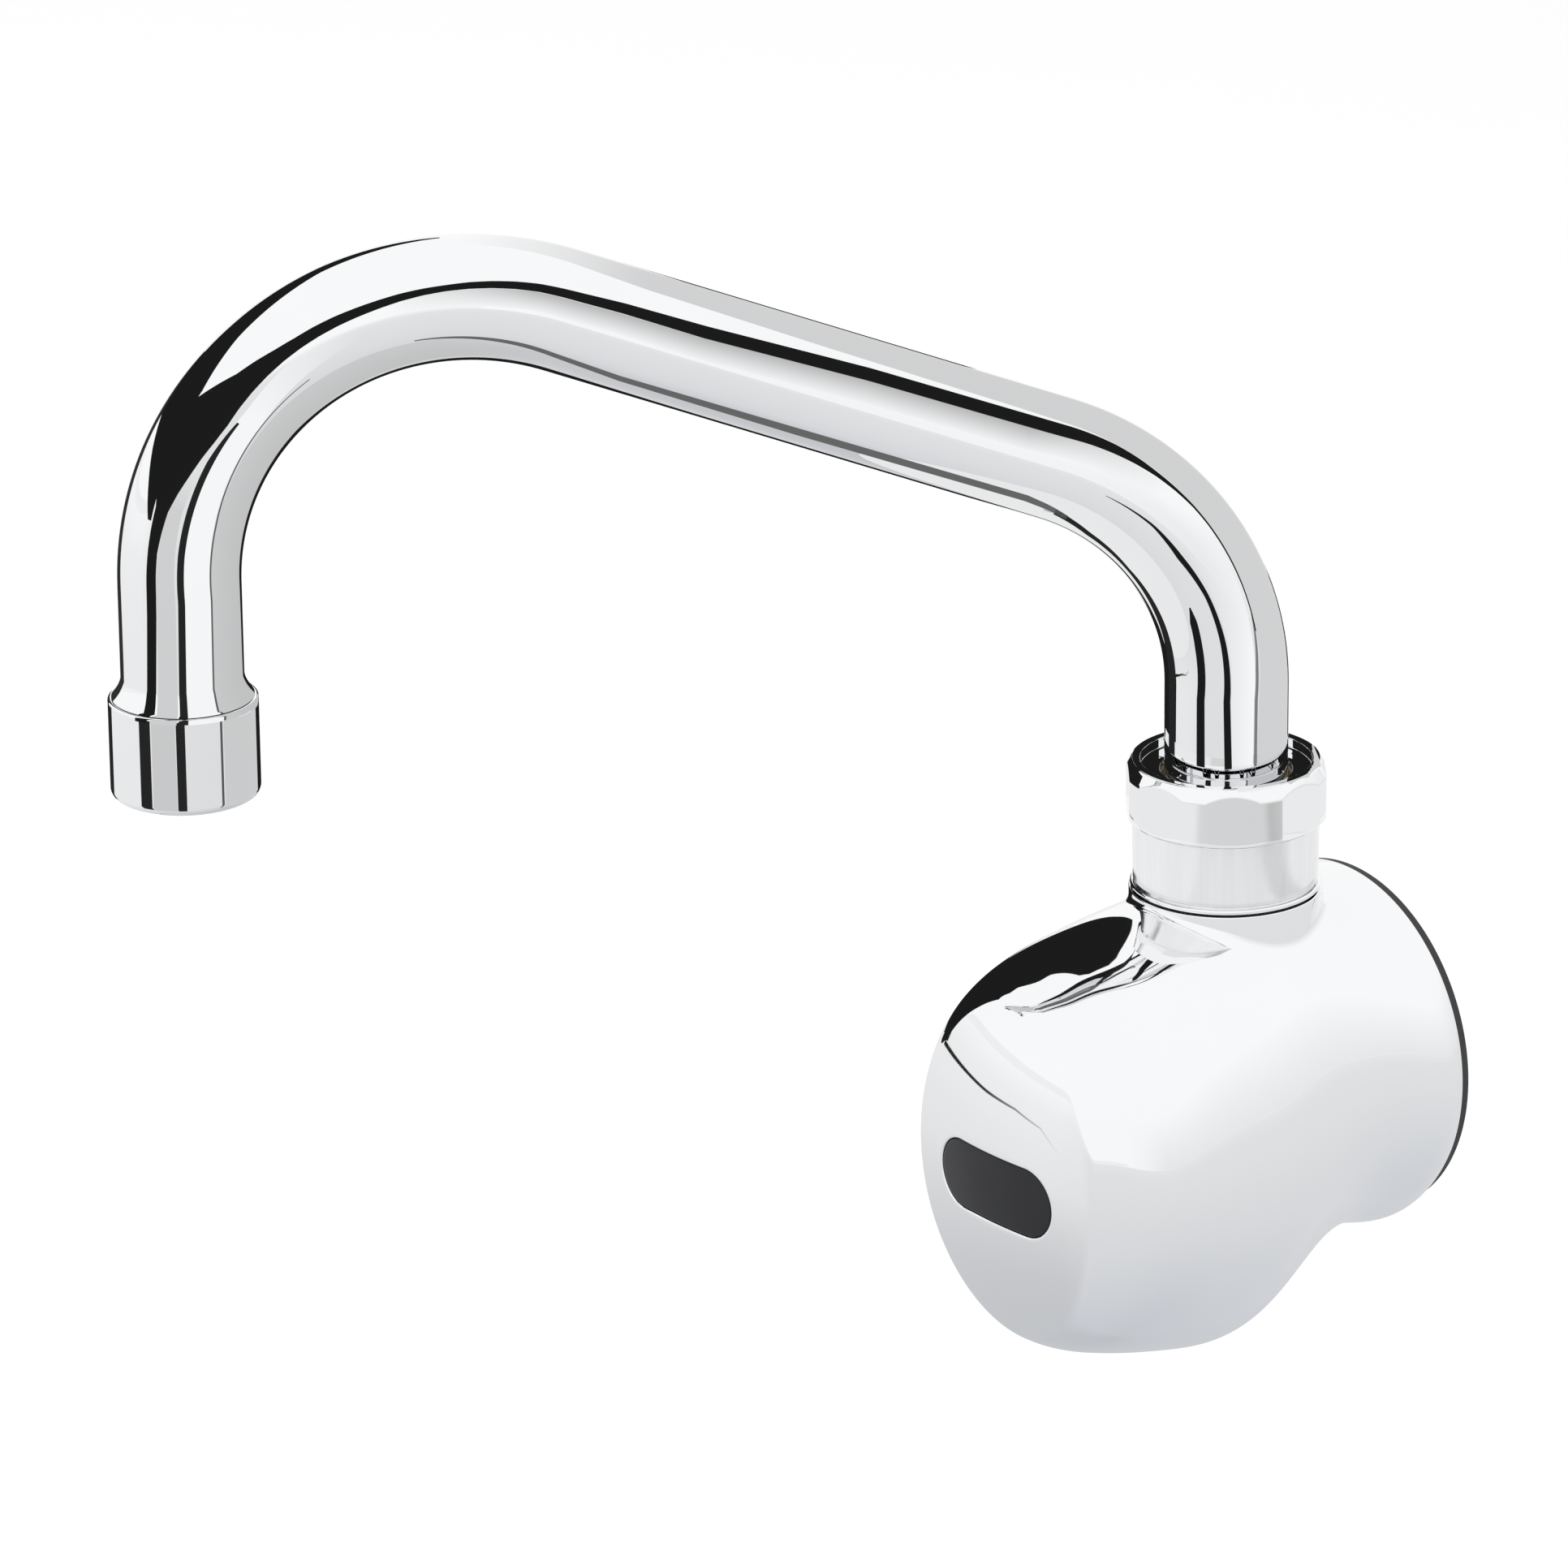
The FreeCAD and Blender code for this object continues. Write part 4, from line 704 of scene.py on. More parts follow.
def casting_land(sizes, stem, shape, shell):
    """The raised land under the adapter, with its fillet into the casting."""
    top, columns = sizes.land_height, []
    for turn in turns(CASTING_ROUND):
        way = Vector((math.cos(turn), math.sin(turn), 0))

        def reach(radius, height):
            return Vector((0, -stem.stem_depth, float(height))) + way * radius

        def clear(radius, most, gap):
            return last_place(LAND_SEARCH, most,
                              lambda height: shape.gap(reach(radius, height))[0] < gap)

        room = top - LAND_EDGE - clear(sizes.neck_radius, top + 5.0 * MM, 0.0)
        blend = min(sizes.neck_blend, max(room, 0.02 * MM) * 0.7)
        outside = sizes.neck_radius + blend
        ball = reach(outside, clear(outside, top, blend))
        outward = shape.gap(ball)[1]
        swing = max(way.angle(outward), 1e-4)
        column = [reach(sizes.neck_bore, top)]
        column += [reach(sizes.neck_radius - inset, top - down)
                   for inset, down in quarter_round(LAND_EDGE)]
        column += [ball - sweep(way, outward, swing, step / FILLET_STEPS) * blend
                   for step in range(FILLET_STEPS + 1)]
        foot = column[-1]
        # The skin goes on inside the metal, so that no edge shows
        column += [foot - outward * FOOT_SUNK, reach(sizes.neck_bore, foot.z - BORE_SUNK)]
        columns.append(column)
    shell.skin(list(zip(*columns)))


class TAP_OT_casting(Operator):
    """Build the cast body with its wall flange, land, domed front and window opening"""
    bl_idname = "tap.casting"
    bl_label = "Cast body"

    def execute(self, context):
        sizes, shape, shell = context.scene.tap_casting, Casting(), Shell()
        casting_front(sizes, shape, shell)
        casting_land(sizes, context.scene.tap_stem, shape, shell)
        shell.piece("cast_body", "root", "chrome_body", "body_shell", 40.0, False)
        return {"FINISHED"}


class TAP_OT_window(Operator):
    """Build the smoked sensor window that follows the domed front"""
    bl_idname = "tap.window"
    bl_label = "Sensor window"

    def execute(self, context):
        sizes = context.scene.tap_casting
        half, rounding = sizes.window_radius, sizes.window_round
        centre = (0.0, -(sizes.body_depth - sizes.face_dome), sizes.dome_height)
        lowest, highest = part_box("sensor_window")
        back_half, step = highest.z + sizes.window_place, lowest.y + WINDOW_STEP

        def loop(radius, back=0.0, level=None):
            ring = on_dome(window_loop(sizes, max(radius, 1e-6), INNER_ROUND),
                           sizes.face_dome - sizes.window_inset, centre)
            ring[:, 1] = ring[:, 1] + back if level is None else level
            return ring

        rings = [loop((half - rounding) * ring / WINDOW_RINGS) for ring in range(WINDOW_RINGS + 1)]
        rings += [loop(half - inset, back) for inset, back in quarter_round(rounding, 1)]
        rings += [loop(half, level=step), loop(back_half, level=step)]
        rings += [loop(back_half * ring / BACK_RINGS, level=highest.y)
                  for ring in range(BACK_RINGS, -1, -1)]
        Shell().skin(rings, closed=False).piece(
            "smoked_window", "root", "window", "sensor_window", 40.0)
        return {"FINISHED"}


def soft_least(first, second, blend):
    """The smaller of two values, rounded where they meet."""
    near = np.clip(0.5 + 0.5 * (second - first) / blend, 0, 1)
    return second * (1 - near) + first * near - blend * near * (1 - near)


class TAP_OT_swivel_nut(Operator):
    """Build the eight-sided swivel nut with turned chamfers, rim, recess and lip"""
    bl_idname = "tap.swivel_nut"
    bl_label = "Swivel nut"

    def execute(self, context):
        stem = context.scene.tap_stem
        lowest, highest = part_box("swivel_nut")
        base, top = lowest.z, highest.z
        band, flat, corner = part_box("spout_adapter")[1].x, stem.nut_flats / 2, stem.nut_corner
        # Columns of one side in degrees from its middle, close together beside the corner
        half_flat = math.degrees(math.acos(flat / corner))
        near = [22.5, 20.0, 17.8]
        near += [half_flat + part for part in (0.8, 0.35, 0.1, -0.1, -0.35, -0.8)]
        near += [13.6, 12.0, 10.0, 8.0, 6.0, 4.0, 2.0, 0.0]
        offsets = np.radians([-part for part in near] + near[-2:0:-1])
        swing = np.concatenate([stem.nut_turn + math.radians(turn) + offsets
                                for turn in range(0, 360, 45)])
        side = np.tile(flat / np.cos(offsets), 8)
        level = np.minimum(side, corner)
        side = soft_least(side, corner, 0.06 * MM)
        shoulder = top - stem.nut_chamfer_height
        high = shoulder + stem.nut_chamfer_height * (corner - level) / stem.nut_chamfer
        low = base + stem.nut_foot * (level - band) / (corner - band)

        def outside(height):
            upper = corner - stem.nut_chamfer * (height - shoulder) / stem.nut_chamfer_height
            lower = band + (corner - band) * (height - base) / stem.nut_foot
            return soft_least(soft_least(side, upper, stem.nut_edge), lower, stem.nut_edge)

        first, last = base + 0.02 * MM, top - 0.15 * MM
        heights = [first + 0 * level]
        heights += [low + shift * MM for shift in (-0.25, -0.08, 0.0, 0.08, 0.25)]
        heights += [low + (high - low) * part for part in (0.3, 0.5, 0.7)]
        heights += [high + shift * MM for shift in (-0.3, -0.1, 0.0, 0.1, 0.3)]
        heights += [high + (top - high) * 0.75, last + 0 * level]
        heights = [np.clip(height, first, last) for height in heights]
        rim = corner - stem.nut_chamfer
        mouth, recess = rim - stem.nut_rim, top - stem.nut_recess
        lip = recess - stem.nut_lip
        outline = [(outside(height), height) for height in heights] + rounded_outline([
            (rim, top, 0.12 * MM), (mouth, top, 0.2 * MM), (mouth, recess, 0.25 * MM),
            (stem.nut_mouth, recess, 0.12 * MM), (stem.nut_mouth, lip, 0.0),
            (stem.nut_bore, lip, 0.0), (stem.nut_bore, base, 0.0), (band, base, 0.0)])
        Shell().skin(turned_rings(outline, (0.0, -stem.stem_depth), swing)).piece(
            "swivel_nut_bright", "root", "chrome_trim", "swivel_nut", 50.0)
        return {"FINISHED"}


class TAP_OT_stem_rings(Operator):
    """Build the satin adapter band and the bright ring under it"""
    bl_idname = "tap.stem_rings"
    bl_label = "Adapter and base ring"

    def execute(self, context):
        stem = context.scene.tap_stem
        centre = (0.0, -stem.stem_depth)
        ring_low, ring_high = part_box("base_ring")
        low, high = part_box("spout_adapter")
        radius, ring_top, seat = high.x, ring_high.z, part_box("adapter_seal")[1].x
        band_foot, band_top = ring_top + 0.3 * MM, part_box("swivel_nut")[0].z - FIT
        floor, tail = ring_top + 1.4 * MM, stem.adapter_tail + FIT
        Shell().skin(turned_rings(rounded_outline([
            (stem.adapter_bore, low.z, 0.0), (stem.adapter_tail, low.z, 0.5 * MM),
            (stem.adapter_tail, ring_top, 0.0), (seat, ring_top, 0.0),
            (seat, band_foot, 0.1 * MM), (radius - stem.band_draft, band_foot, stem.band_round),
            (radius, band_top, 0.12 * MM), (stem.adapter_thread, band_top, 0.0),
            (stem.adapter_thread, high.z, 0.2 * MM), (stem.adapter_socket, high.z, 0.0),
            (stem.adapter_socket, floor, 0.0), (stem.adapter_bore, floor, 0.0)]), centre)).piece(
                "satin_adapter", "root", "satin_metal", "spout_adapter")
        Shell().skin(turned_rings(rounded_outline([
            (tail, ring_low.z, 0.0), (ring_high.x, ring_low.z, stem.ring_round),
            (ring_high.x, ring_top, stem.ring_round), (tail, ring_top, 0.0)]), centre)).piece(
                "bright_ring", "root", "chrome_trim", "base_ring")
        return {"FINISHED"}


def bend_places(middle, radius, first, turned):
    """Places of (out, height, slope) round a bend, over falling angles from the first."""
    steps = math.ceil(math.degrees(turned) / BEND_STEP)
    swings = [first - turned * step / steps for step in range(steps + 1)]
    return [(middle.x + radius * math.cos(swing), middle.y + radius * math.sin(swing),
             swing - math.pi / 2) for swing in swings]


def spout_axis(spout):
    """Places of (out, height, slope) from stem to outlet, and the top of the straight leg."""
    rise = spout.rise
    side = Vector((-math.sin(rise), math.cos(rise)))
    far = Vector((spout.reach - spout.far_bend, spout.crest - spout.far_bend))
    near = Vector((spout.near_bend, (side.dot(far) + spout.far_bend - spout.near_bend
                                     - side.x * spout.near_bend) / side.y))
    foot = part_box("spout_tube")[0].z
    places = [(0.0, foot + (near.y - foot) * part, math.pi / 2)
              for part in np.linspace(0, 1, 10)[:-1]]
    places += bend_places(near, spout.near_bend, math.pi, math.pi / 2 - rise)
    start, end = near + side * spout.near_bend, far + side * spout.far_bend
    places += [(*start.lerp(end, part), rise) for part in np.linspace(0, 1, 20)[1:-1]]
    places += bend_places(far, spout.far_bend, math.pi / 2 + rise, math.pi / 2 + rise)
    return places, far.y


def spout_directions(spout, stem):
    """The stem's axis on the inlet's level, and the directions along and beside the spout."""
    out_of = Vector((math.cos(spout.heading), math.sin(spout.heading), 0))
    return Vector((0, -stem.stem_depth, 0)), out_of, Vector((-out_of.y, out_of.x, 0))


def tube_section(axis, out_of, out, height, slope):
    """Middle of the tube at a place along it, and the direction up across the tube there."""
    return (axis + out_of * out + Vector((0, 0, height)),
            out_of * -math.sin(slope) + Vector((0, 0, math.cos(slope))))


class TAP_OT_spout_tube(Operator):
    """Build the bent swing spout with its flared end"""
    bl_idname = "tap.spout_tube"
    bl_label = "Spout tube"

    def execute(self, context):
        spout = context.scene.tap_spout
        places, leg_top = spout_axis(spout)
        axis, out_of, beside = spout_directions(spout, context.scene.tap_stem)
        radius, flare, thread = spout.tube_radius, spout.flare_radius, spout.outlet_thread
        bore, edge = radius - spout.tube_wall, 0.15 * MM
        foot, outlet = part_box("aerator_collar")[1].z + FIT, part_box("aerator_washer")[1].z
        flare_top = foot + spout.flare_height

        def ring(out, height, slope, radius):
            centre, lift = tube_section(axis, out_of, out, height, slope)
            return [centre + lift * (radius * math.cos(swing))
                    + beside * (radius * math.sin(swing)) for swing in turns(ROUND)]

        leg = [(leg_top + (flare_top - leg_top) * part, radius)
               for part in np.linspace(0, 1, 6)[1:]]
        leg += [(flare_top - (spout.flare_height - edge) * part,
                 radius + (flare - radius) * part ** 1.8) for part in np.linspace(0, 1, 15)[1:]]
        leg += [(foot + 0.05 * MM, flare), (foot, flare - edge), (foot, thread),
                (outlet, thread), (outlet, bore)]
        rings = [ring(*place, radius) for place in places]
        rings += [ring(spout.reach, height, -math.pi / 2, wide) for height, wide in leg]
        rings += [ring(*place, bore) for place in reversed(places[::3])]
        Shell().skin(rings).piece(
            "spout_tube_bright", "spout", "chrome_spout", "spout_tube", 40.0, False)
        return {"FINISHED"}


def wire_screen(shell, centre, height, spout, radius):
    """A round woven screen: wires both ways, each over and under the next."""
    pitch, wire = spout.wire_pitch, spout.wire
    reach = int(radius / pitch)
    sides = [math.pi / 3 * corner for corner in range(WIRE_SIDES)]
    for cross in (False, True):
        for row in range(-reach, reach + 1):
            half = math.sqrt(max(radius ** 2 - (row * pitch) ** 2, 0.0))
            steps = max(2, int(2 * half / pitch * 3))
            rings = []
            for step in range(steps + 1):
                along = -half + 2 * half * step / steps
                wave = math.cos(math.pi * (along / pitch + row)) * wire * (-1 if cross else 1)
                ring = []
                for turn in sides:
                    aside = row * pitch + wire * math.cos(turn)
                    x, y = (aside, along) if cross else (along, aside)
                    ring.append((centre[0] + x, centre[1] + y,
                                 height + wave + wire * math.sin(turn)))
                rings.append(ring)
            shell.skin(rings, caps=True)


class TAP_OT_aerator(Operator):
    """Build the aerator collar and the woven screens inside it"""
    bl_idname = "tap.aerator"
    bl_label = "Aerator"

    def execute(self, context):
        spout = context.scene.tap_spout
        low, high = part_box("aerator_collar")
        centre = ((low.x + high.x) / 2, (low.y + high.y) / 2)
        radius, lip = (high.x - low.x) / 2, low.z + spout.collar_lip
        Shell().skin(turned_rings(rounded_outline([
            (spout.collar_mouth, low.z, 0.4 * MM), (radius, low.z, spout.collar_round),
            (radius, high.z, spout.collar_edge), (spout.collar_bore, high.z, 0.2 * MM),
            (spout.collar_bore, lip, 0.0), (spout.collar_mouth, lip, 0.2 * MM)], 9),
            centre)).piece("collar_bright", "spout", "chrome_trim", "aerator_collar")
        low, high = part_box("aerator_screens")
        shell = Shell()
        for height in (low.z + 2 * spout.wire, high.z - 2 * spout.wire):
            wire_screen(shell, centre, height, spout, (high.x - low.x) / 2)
        shell.piece("woven_screens", "spout", "stainless", "aerator_screens", 60.0, False)
        return {"FINISHED"}


class TAP_OT_inlet(Operator):
    """Build the brass elbow with its threaded inlet"""
    bl_idname = "tap.inlet"
    bl_label = "Inlet elbow"

    def execute(self, context):
        sizes, stem = context.scene.tap_inlet, context.scene.tap_stem
        around, seat, barrel = turns(INNER_ROUND), sizes.washer_seat, sizes.barrel
        top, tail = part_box("waterway_elbow")[1].z, stem.adapter_tail + FIT
        crest, threaded = sizes.thread_crest, sizes.thread_length
        outline = rounded_outline([
            (seat, stem.stem_depth, 0.0), (barrel, stem.stem_depth, 1.5 * MM),
            (barrel, 0.0, 0.25 * MM), (crest + THREAD_CHAMFER, 0.0, 0.0)])
        rows = int(threaded / sizes.thread_pitch * 10)
        for row in range(rows + 1):
            depth = threaded * row / rows
            # The groove is deepest at half the pitch, runs out softly at both ends of the
            # thread, and the mouth has a small chamfer
            phase = (depth / sizes.thread_pitch + around / (2 * math.pi)) % 1.0
            groove = np.clip(1.15 - np.abs(phase - 0.5) * 2.6, 0.0, 1.0)
            run_out = min(1.0, depth / (0.7 * MM), (threaded - depth) / (0.7 * MM))
            chamfer = THREAD_CHAMFER * max(0.0, 1.0 - depth / (0.5 * MM))
            outline.append((crest + sizes.thread_depth * groove * run_out + chamfer, depth))
        outline.append((seat, threaded))
        shell = Shell().skin(turned_from_wall(outline, around))
        shell.skin(turned_rings(rounded_outline([
            (tail, seat, 0.0), (barrel, seat, 0.0), (barrel, top, 0.4 * MM),
            (tail, top, 0.0)]), (0.0, -stem.stem_depth), around))
        shell.piece("threaded_elbow", "root", "brass", "waterway_elbow", 50.0)
        return {"FINISHED"}


class TAP_OT_plate_screws(Operator):
    """Build the two cross-head screws of the back plate"""
    bl_idname = "tap.plate_screws"
    bl_label = "Plate screws"

    def execute(self, context):
        sizes = context.scene.tap_inlet
        low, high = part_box("plate_screws")
        face, tip, head, shank = -high.y, -low.y, sizes.screw_head, sizes.screw_shank
        under, mesh = face + sizes.head_height, bmesh.new()

        def band(first, second):
            for k in range(len(first)):
                after = (k + 1) % len(first)
                mesh.faces.new((first[k], first[after], second[after], second[k]))

        for across in (high.x - head, low.x + head):
            outline = rounded_outline([
                (head - 0.5 * MM, face, 0.0), (head, face, 0.45 * MM), (head, under, 0.1 * MM),
                (shank, under, 0.1 * MM), (shank, tip, 0.3 * MM), (0.2 * MM, tip, 0.0)])[:-1]
            rings = [[mesh.verts.new(tuple(point)) for point in ring]
                     for ring in turned_from_wall(outline, turns(SCREW_ROUND), across)]
            for first, second in zip(rings, rings[1:]):
                band(first, second)
            mesh.faces.new(rings[-1])
            crosses = []
            for arm, slot, depth in ((sizes.cross_arm, sizes.cross_slot, 0.0),
                                     (sizes.cross_arm * 0.45, sizes.cross_slot * 0.7,
                                      sizes.cross_depth)):
                corners = ((arm, -slot), (arm, slot), (slot, slot), (slot, arm), (-slot, arm),
                           (-slot, slot), (-arm, slot), (-arm, -slot), (-slot, -slot),
                           (-slot, -arm), (slot, -arm), (slot, -slot))
                crosses.append([mesh.verts.new((across + x, -face - depth, z))
                                for x, z in corners])
            band(*crosses)
            mesh.faces.new(crosses[1])
            border = []
            for loop in (rings[0], crosses[0]):
                for pair in zip(loop, loop[1:] + loop[:1]):
                    border.append(mesh.edges.get(pair) or mesh.edges.new(pair))
            bmesh.ops.triangle_fill(mesh, edges=border, use_beauty=True)
        mesh.verts.index_update()
        shell = Shell()
        shell.points = [tuple(v.co) for v in mesh.verts]
        shell.faces = [tuple(v.index for v in face.verts) for face in mesh.faces]
        mesh.free()
        shell.piece("cross_head_screws", "root", "stainless", "plate_screws", 40.0)
        return {"FINISHED"}


class TAP_OT_finishes(Operator):
    """Give every piece that keeps its measured shape its finish"""
    bl_idname = "tap.finishes"
    bl_label = "Finishes"

    def execute(self, context):
        for entry in frame["record"]["subparts"]:
            put_finish(frame["nodes"][entry["node"]], entry["material_slot"])
        return {"FINISHED"}


# ---------------------------------------------------------------------------------------------
# Stage
# ---------------------------------------------------------------------------------------------
def calculated(tree, operation, first, second):
    """Result of a Math node; the first input is a socket, the second a socket or a number."""
    node = tree.nodes.new("ShaderNodeMath")
    node.operation = operation
    tree.links.new(first, node.inputs[0])
    if isinstance(second, float):
        node.inputs[1].default_value = second
    else:
        tree.links.new(second, node.inputs[1])
    return node.outputs["Value"]


def shaded(name, one_sided=False):
    """A card that glows in the shades painted on its corners; its back may be clear."""
    material = bpy.data.materials.new(name)
    material.use_nodes = True
    tree = material.node_tree
    tree.nodes.clear()
    glow, paint, mix, clear, output = (tree.nodes.new("ShaderNode" + kind) for kind in (
        "Emission", "Attribute", "MixShader", "BsdfTransparent", "OutputMaterial"))
    paint.attribute_name = "shade"
    solid = paint.outputs["Alpha"]
    if one_sided:
        back = tree.nodes.new("ShaderNodeNewGeometry").outputs["Backfacing"]
        solid = calculated(tree, "SUBTRACT", solid, back)
    for source, target in ((paint.outputs["Color"], glow.inputs["Color"]),
                           (solid, mix.inputs["Fac"]), (clear.outputs["BSDF"], mix.inputs[1]),
                           (glow.outputs["Emission"], mix.inputs[2]),
                           (mix.outputs["Shader"], output.inputs["Surface"])):
        tree.links.new(source, target)
    return material


def card(name, rows, shades, material, closed=False):
    """A studio card that only shows as a reflection: rows of points, each with its shade.

    A shade is a grey, a colour, or a colour with how solid the card is there.
    """
    mesh = bpy.data.meshes.new(name)
    mesh.from_pydata([tuple(point) for row in rows for point in row], [],
                     grid_faces(len(rows), len(rows[0]), False, closed))
    paint = mesh.color_attributes.new("shade", "FLOAT_COLOR", "POINT")
    for place, shade in enumerate(shade for row in shades for shade in row):
        if not isinstance(shade, tuple):
            shade = (shade,) * 3
        paint.data[place].color = (*shade, 1.0)[:4]
    mesh.materials.append(material)
    thing = add_object(name, mesh)
    thing.visible_camera = thing.visible_diffuse = thing.visible_shadow = False
    thing.visible_transmission = thing.visible_volume_scatter = False
    return thing


def toward(azimuth, elevation):
    """Direction of an azimuth, from straight out of the wall towards +X, and an elevation."""
    a, e = math.radians(azimuth), math.radians(elevation)
    return Vector((math.sin(a) * math.cos(e), -math.cos(a) * math.cos(e), math.sin(e)))


def between_marks(marks, place, column=1, missing=None):
    """A value between marks, which start with their places in rising order."""
    return float(np.interp(place, [mark[0] for mark in marks],
                           [mark[column] if len(mark) > column else missing for mark in marks]))


BLACK = 0.012               # shade of the black cards, just above nought
# Grey of the underside card as the tap sees it: elevation below the horizon, and shade
LEFT_SHADES = ((2.0, 0.97), (6.0, 0.90), (20.0, 0.82), (30.0, 0.68), (40.0, 0.60), (90.0, 0.56))
RIGHT_SHADES = ((2.0, 0.84), (6.0, 0.80), (20.0, 0.77), (40.0, 0.72), (60.0, 0.66), (90.0, 0.60))
# Cards whose reflections paint the dark lines and the grey and light bands along the tube:
# name, shade at the inner and at the outer edge, and marks of (share of the way from stem to
# outlet, place across the tube where 1 is its outer edge, half width, and how solid it is where
# it fades)
TUBE_LINES = (
    ("run_line", BLACK, BLACK,
     ((0.15, 0.50, 0.010), (0.22, 0.51, 0.014), (0.245, 0.49, 0.03), (0.27, 0.47, 0.07),
      (0.30, 0.43, 0.10), (0.42, 0.40, 0.105), (0.52, 0.29, 0.10), (0.57, 0.28, 0.085),
      (0.62, 0.22, 0.065), (0.67, 0.11, 0.05), (0.71, 0.05, 0.07), (0.76, 0.05, 0.10),
      (0.79, 0.11, 0.19), (0.82, 0.25, 0.36), (0.85, 0.31, 0.27), (0.876, 0.33, 0.11),
      (0.90, 0.38, 0.08), (1.0, 0.47, 0.075))),
    ("stem_edge_line", 0.02, 0.02,
     ((0.07, -0.89, 0.045), (0.13, -0.89, 0.05), (0.17, -0.90, 0.04), (0.22, -0.92, 0.02),
      (0.26, -0.90, 0.03), (0.29, -0.83, 0.04))),
    ("stem_left_line", BLACK, BLACK,
     ((0.07, -0.44, 0.065), (0.15, -0.45, 0.06), (0.168, -0.44, 0.055), (0.178, -0.42, 0.01))),
    ("stem_middle_line", BLACK, BLACK,
     ((0.07, 0.00, 0.06), (0.115, -0.03, 0.055), (0.15, -0.06, 0.045), (0.18, -0.10, 0.035),
      (0.209, -0.18, 0.045), (0.234, -0.18, 0.02), (0.267, -0.26, 0.004))),
    ("stem_hairline", 0.22, 0.22, ((0.07, 0.44, 0.025), (0.13, 0.45, 0.025), (0.16, 0.50, 0.012))),
    ("outer_line", BLACK, BLACK,
     ((0.67, 0.95, 0.008), (0.73, 0.93, 0.045), (0.78, 0.84, 0.12), (0.81, 0.76, 0.20),
      (0.835, 0.72, 0.22), (0.85, 0.64, 0.18), (0.868, 0.56, 0.10), (0.885, 0.50, 0.03))),
    ("leg_edge", 0.03, 0.03, ((0.80, 0.95, 0.02), (0.86, 0.955, 0.03), (1.0, 0.955, 0.035))),
    ("leg_line", 0.02, 0.02,
     ((0.81, -0.22, 0.02), (0.84, -0.16, 0.05), (0.90, -0.09, 0.055), (1.0, -0.04, 0.06))),
    ("leg_hairline", 0.12, 0.12, ((0.76, -0.52, 0.006), (0.88, -0.56, 0.012), (1.0, -0.53, 0.014))),
    ("under_line", 0.14, 0.14,
     ((0.28, -0.84, 0.03), (0.31, -0.76, 0.05), (0.45, -0.79, 0.055), (0.56, -0.79, 0.04),
      (0.62, -0.71, 0.03), (0.69, -0.63, 0.008))),
    ("leg_shade", 0.66, 0.66,
     ((0.85, 0.02, 0.10, 0.0), (0.875, 0.12, 0.12), (0.92, 0.17, 0.15), (1.0, 0.20, 0.16))),
    ("leg_light", 0.98, 0.98,
     ((0.72, -0.20, 0.16, 0.0), (0.80, -0.36, 0.16), (0.90, -0.34, 0.20), (1.0, -0.30, 0.22))),
    ("inner_shade", 0.56, 0.62,
     ((0.60, -0.86, 0.10, 0.0), (0.68, -0.80, 0.14), (0.80, -0.77, 0.19), (1.0, -0.76, 0.22))),
    ("top_shade", 0.68, 0.68,
     ((0.07, 0.72, 0.25), (0.166, 0.75, 0.23), (0.22, 0.75, 0.23), (0.27, 0.76, 0.22),
      (0.33, 0.78, 0.20), (0.45, 0.80, 0.18), (0.56, 0.83, 0.15), (0.66, 0.90, 0.08, 0.0))),
    ("stem_band", 0.88, 1.0, ((0.07, 0.23, 0.17), (0.14, 0.22, 0.20), (0.22, 0.20, 0.26, 0.0))),
    ("under_shade", 0.94, 0.50,
     ((0.24, 0.28, 0.16, 0.0), (0.32, 0.15, 0.18), (0.42, 0.12, 0.18), (0.52, 0.02, 0.17),
      (0.57, 0.03, 0.16), (0.62, 0.00, 0.15), (0.70, -0.12, 0.12, 0.0))),
)
# How far the cards lie from the axis, in radii: lines along the tube, shades behind them, and
# bars beside the collar
LINE_AWAY, SHADE_AWAY, BAR_AWAY = 1.5, 1.56, 1.4
PALE = 0.5                  # a card of this shade or paler is a shade, a darker one a line
LINE_ROWS = 70
# Cards whose reflections paint dark and grey bars on the collar: place across, half width and shade
COLLAR_BARS = ((0.965, 0.03, 0.02), (0.48, 0.075, 0.02), (0.23, 0.16, 0.62), (0.0, 0.06, 0.02),
               (-0.53, 0.015, 0.10), (-0.76, 0.20, 0.64))
# Cards that the body mirrors; this black one paints a dark reflection over the shoulder: rows of
# the place on the body in millimetres, then the azimuths and the elevation that the card spans as
# seen from there
SHOULDER_CARD = (((-7, -41, 30.5), -127, -110, -24), ((-10, -60, 18), -126, -98, -12),
                 ((-12, -68, 14), -126, -67, -9), ((-9, -66, 19), -126, -65, 5),
                 ((-5, -62, 23), -126, -67, 21), ((-2, -56, 27), -126, -93, 33),
                 ((1, -54, 28), -125, -97.5, 44), ((5.5, -56, 26.5), -125, -100.5, 59),
                 ((6, -56, 26.5), -121, -106, 62))
# Card whose reflection paints the dark line along the brow of the face: place, azimuth, elevations
# and shade
BROW_CARD = (((-13, -70.3, 11.5), -70, -9.3, -8.2, BLACK),
             ((-8, -71.5, 8.8), -58, -9.5, -8.7, BLACK),
             ((-2.3, -72, 7.4), -50, -9.6, -8.9, 0.05), ((4.6, -72, 6.9), -40, -9.3, -8.8, 0.25),
             ((10.2, -71.8, 5.2), -32, -10.0, -9.6, 0.55),
             ((13.8, -71.6, 2.3), -27, -13.0, -12.6, 0.8))
BODY_CARD_AWAY = 150.0      # millimetres from the body
CARD_COLUMNS = 13           # of the shoulder card and the side card
# How much a far card on the right dims the surroundings: azimuth and elevation, each with a share
SIDE_AZIMUTHS = ((50, 0.0), (85, 1.0), (190, 1.0))
SIDE_ELEVATIONS = ((-6, 0.17), (6, 0.11), (24, 0.0))
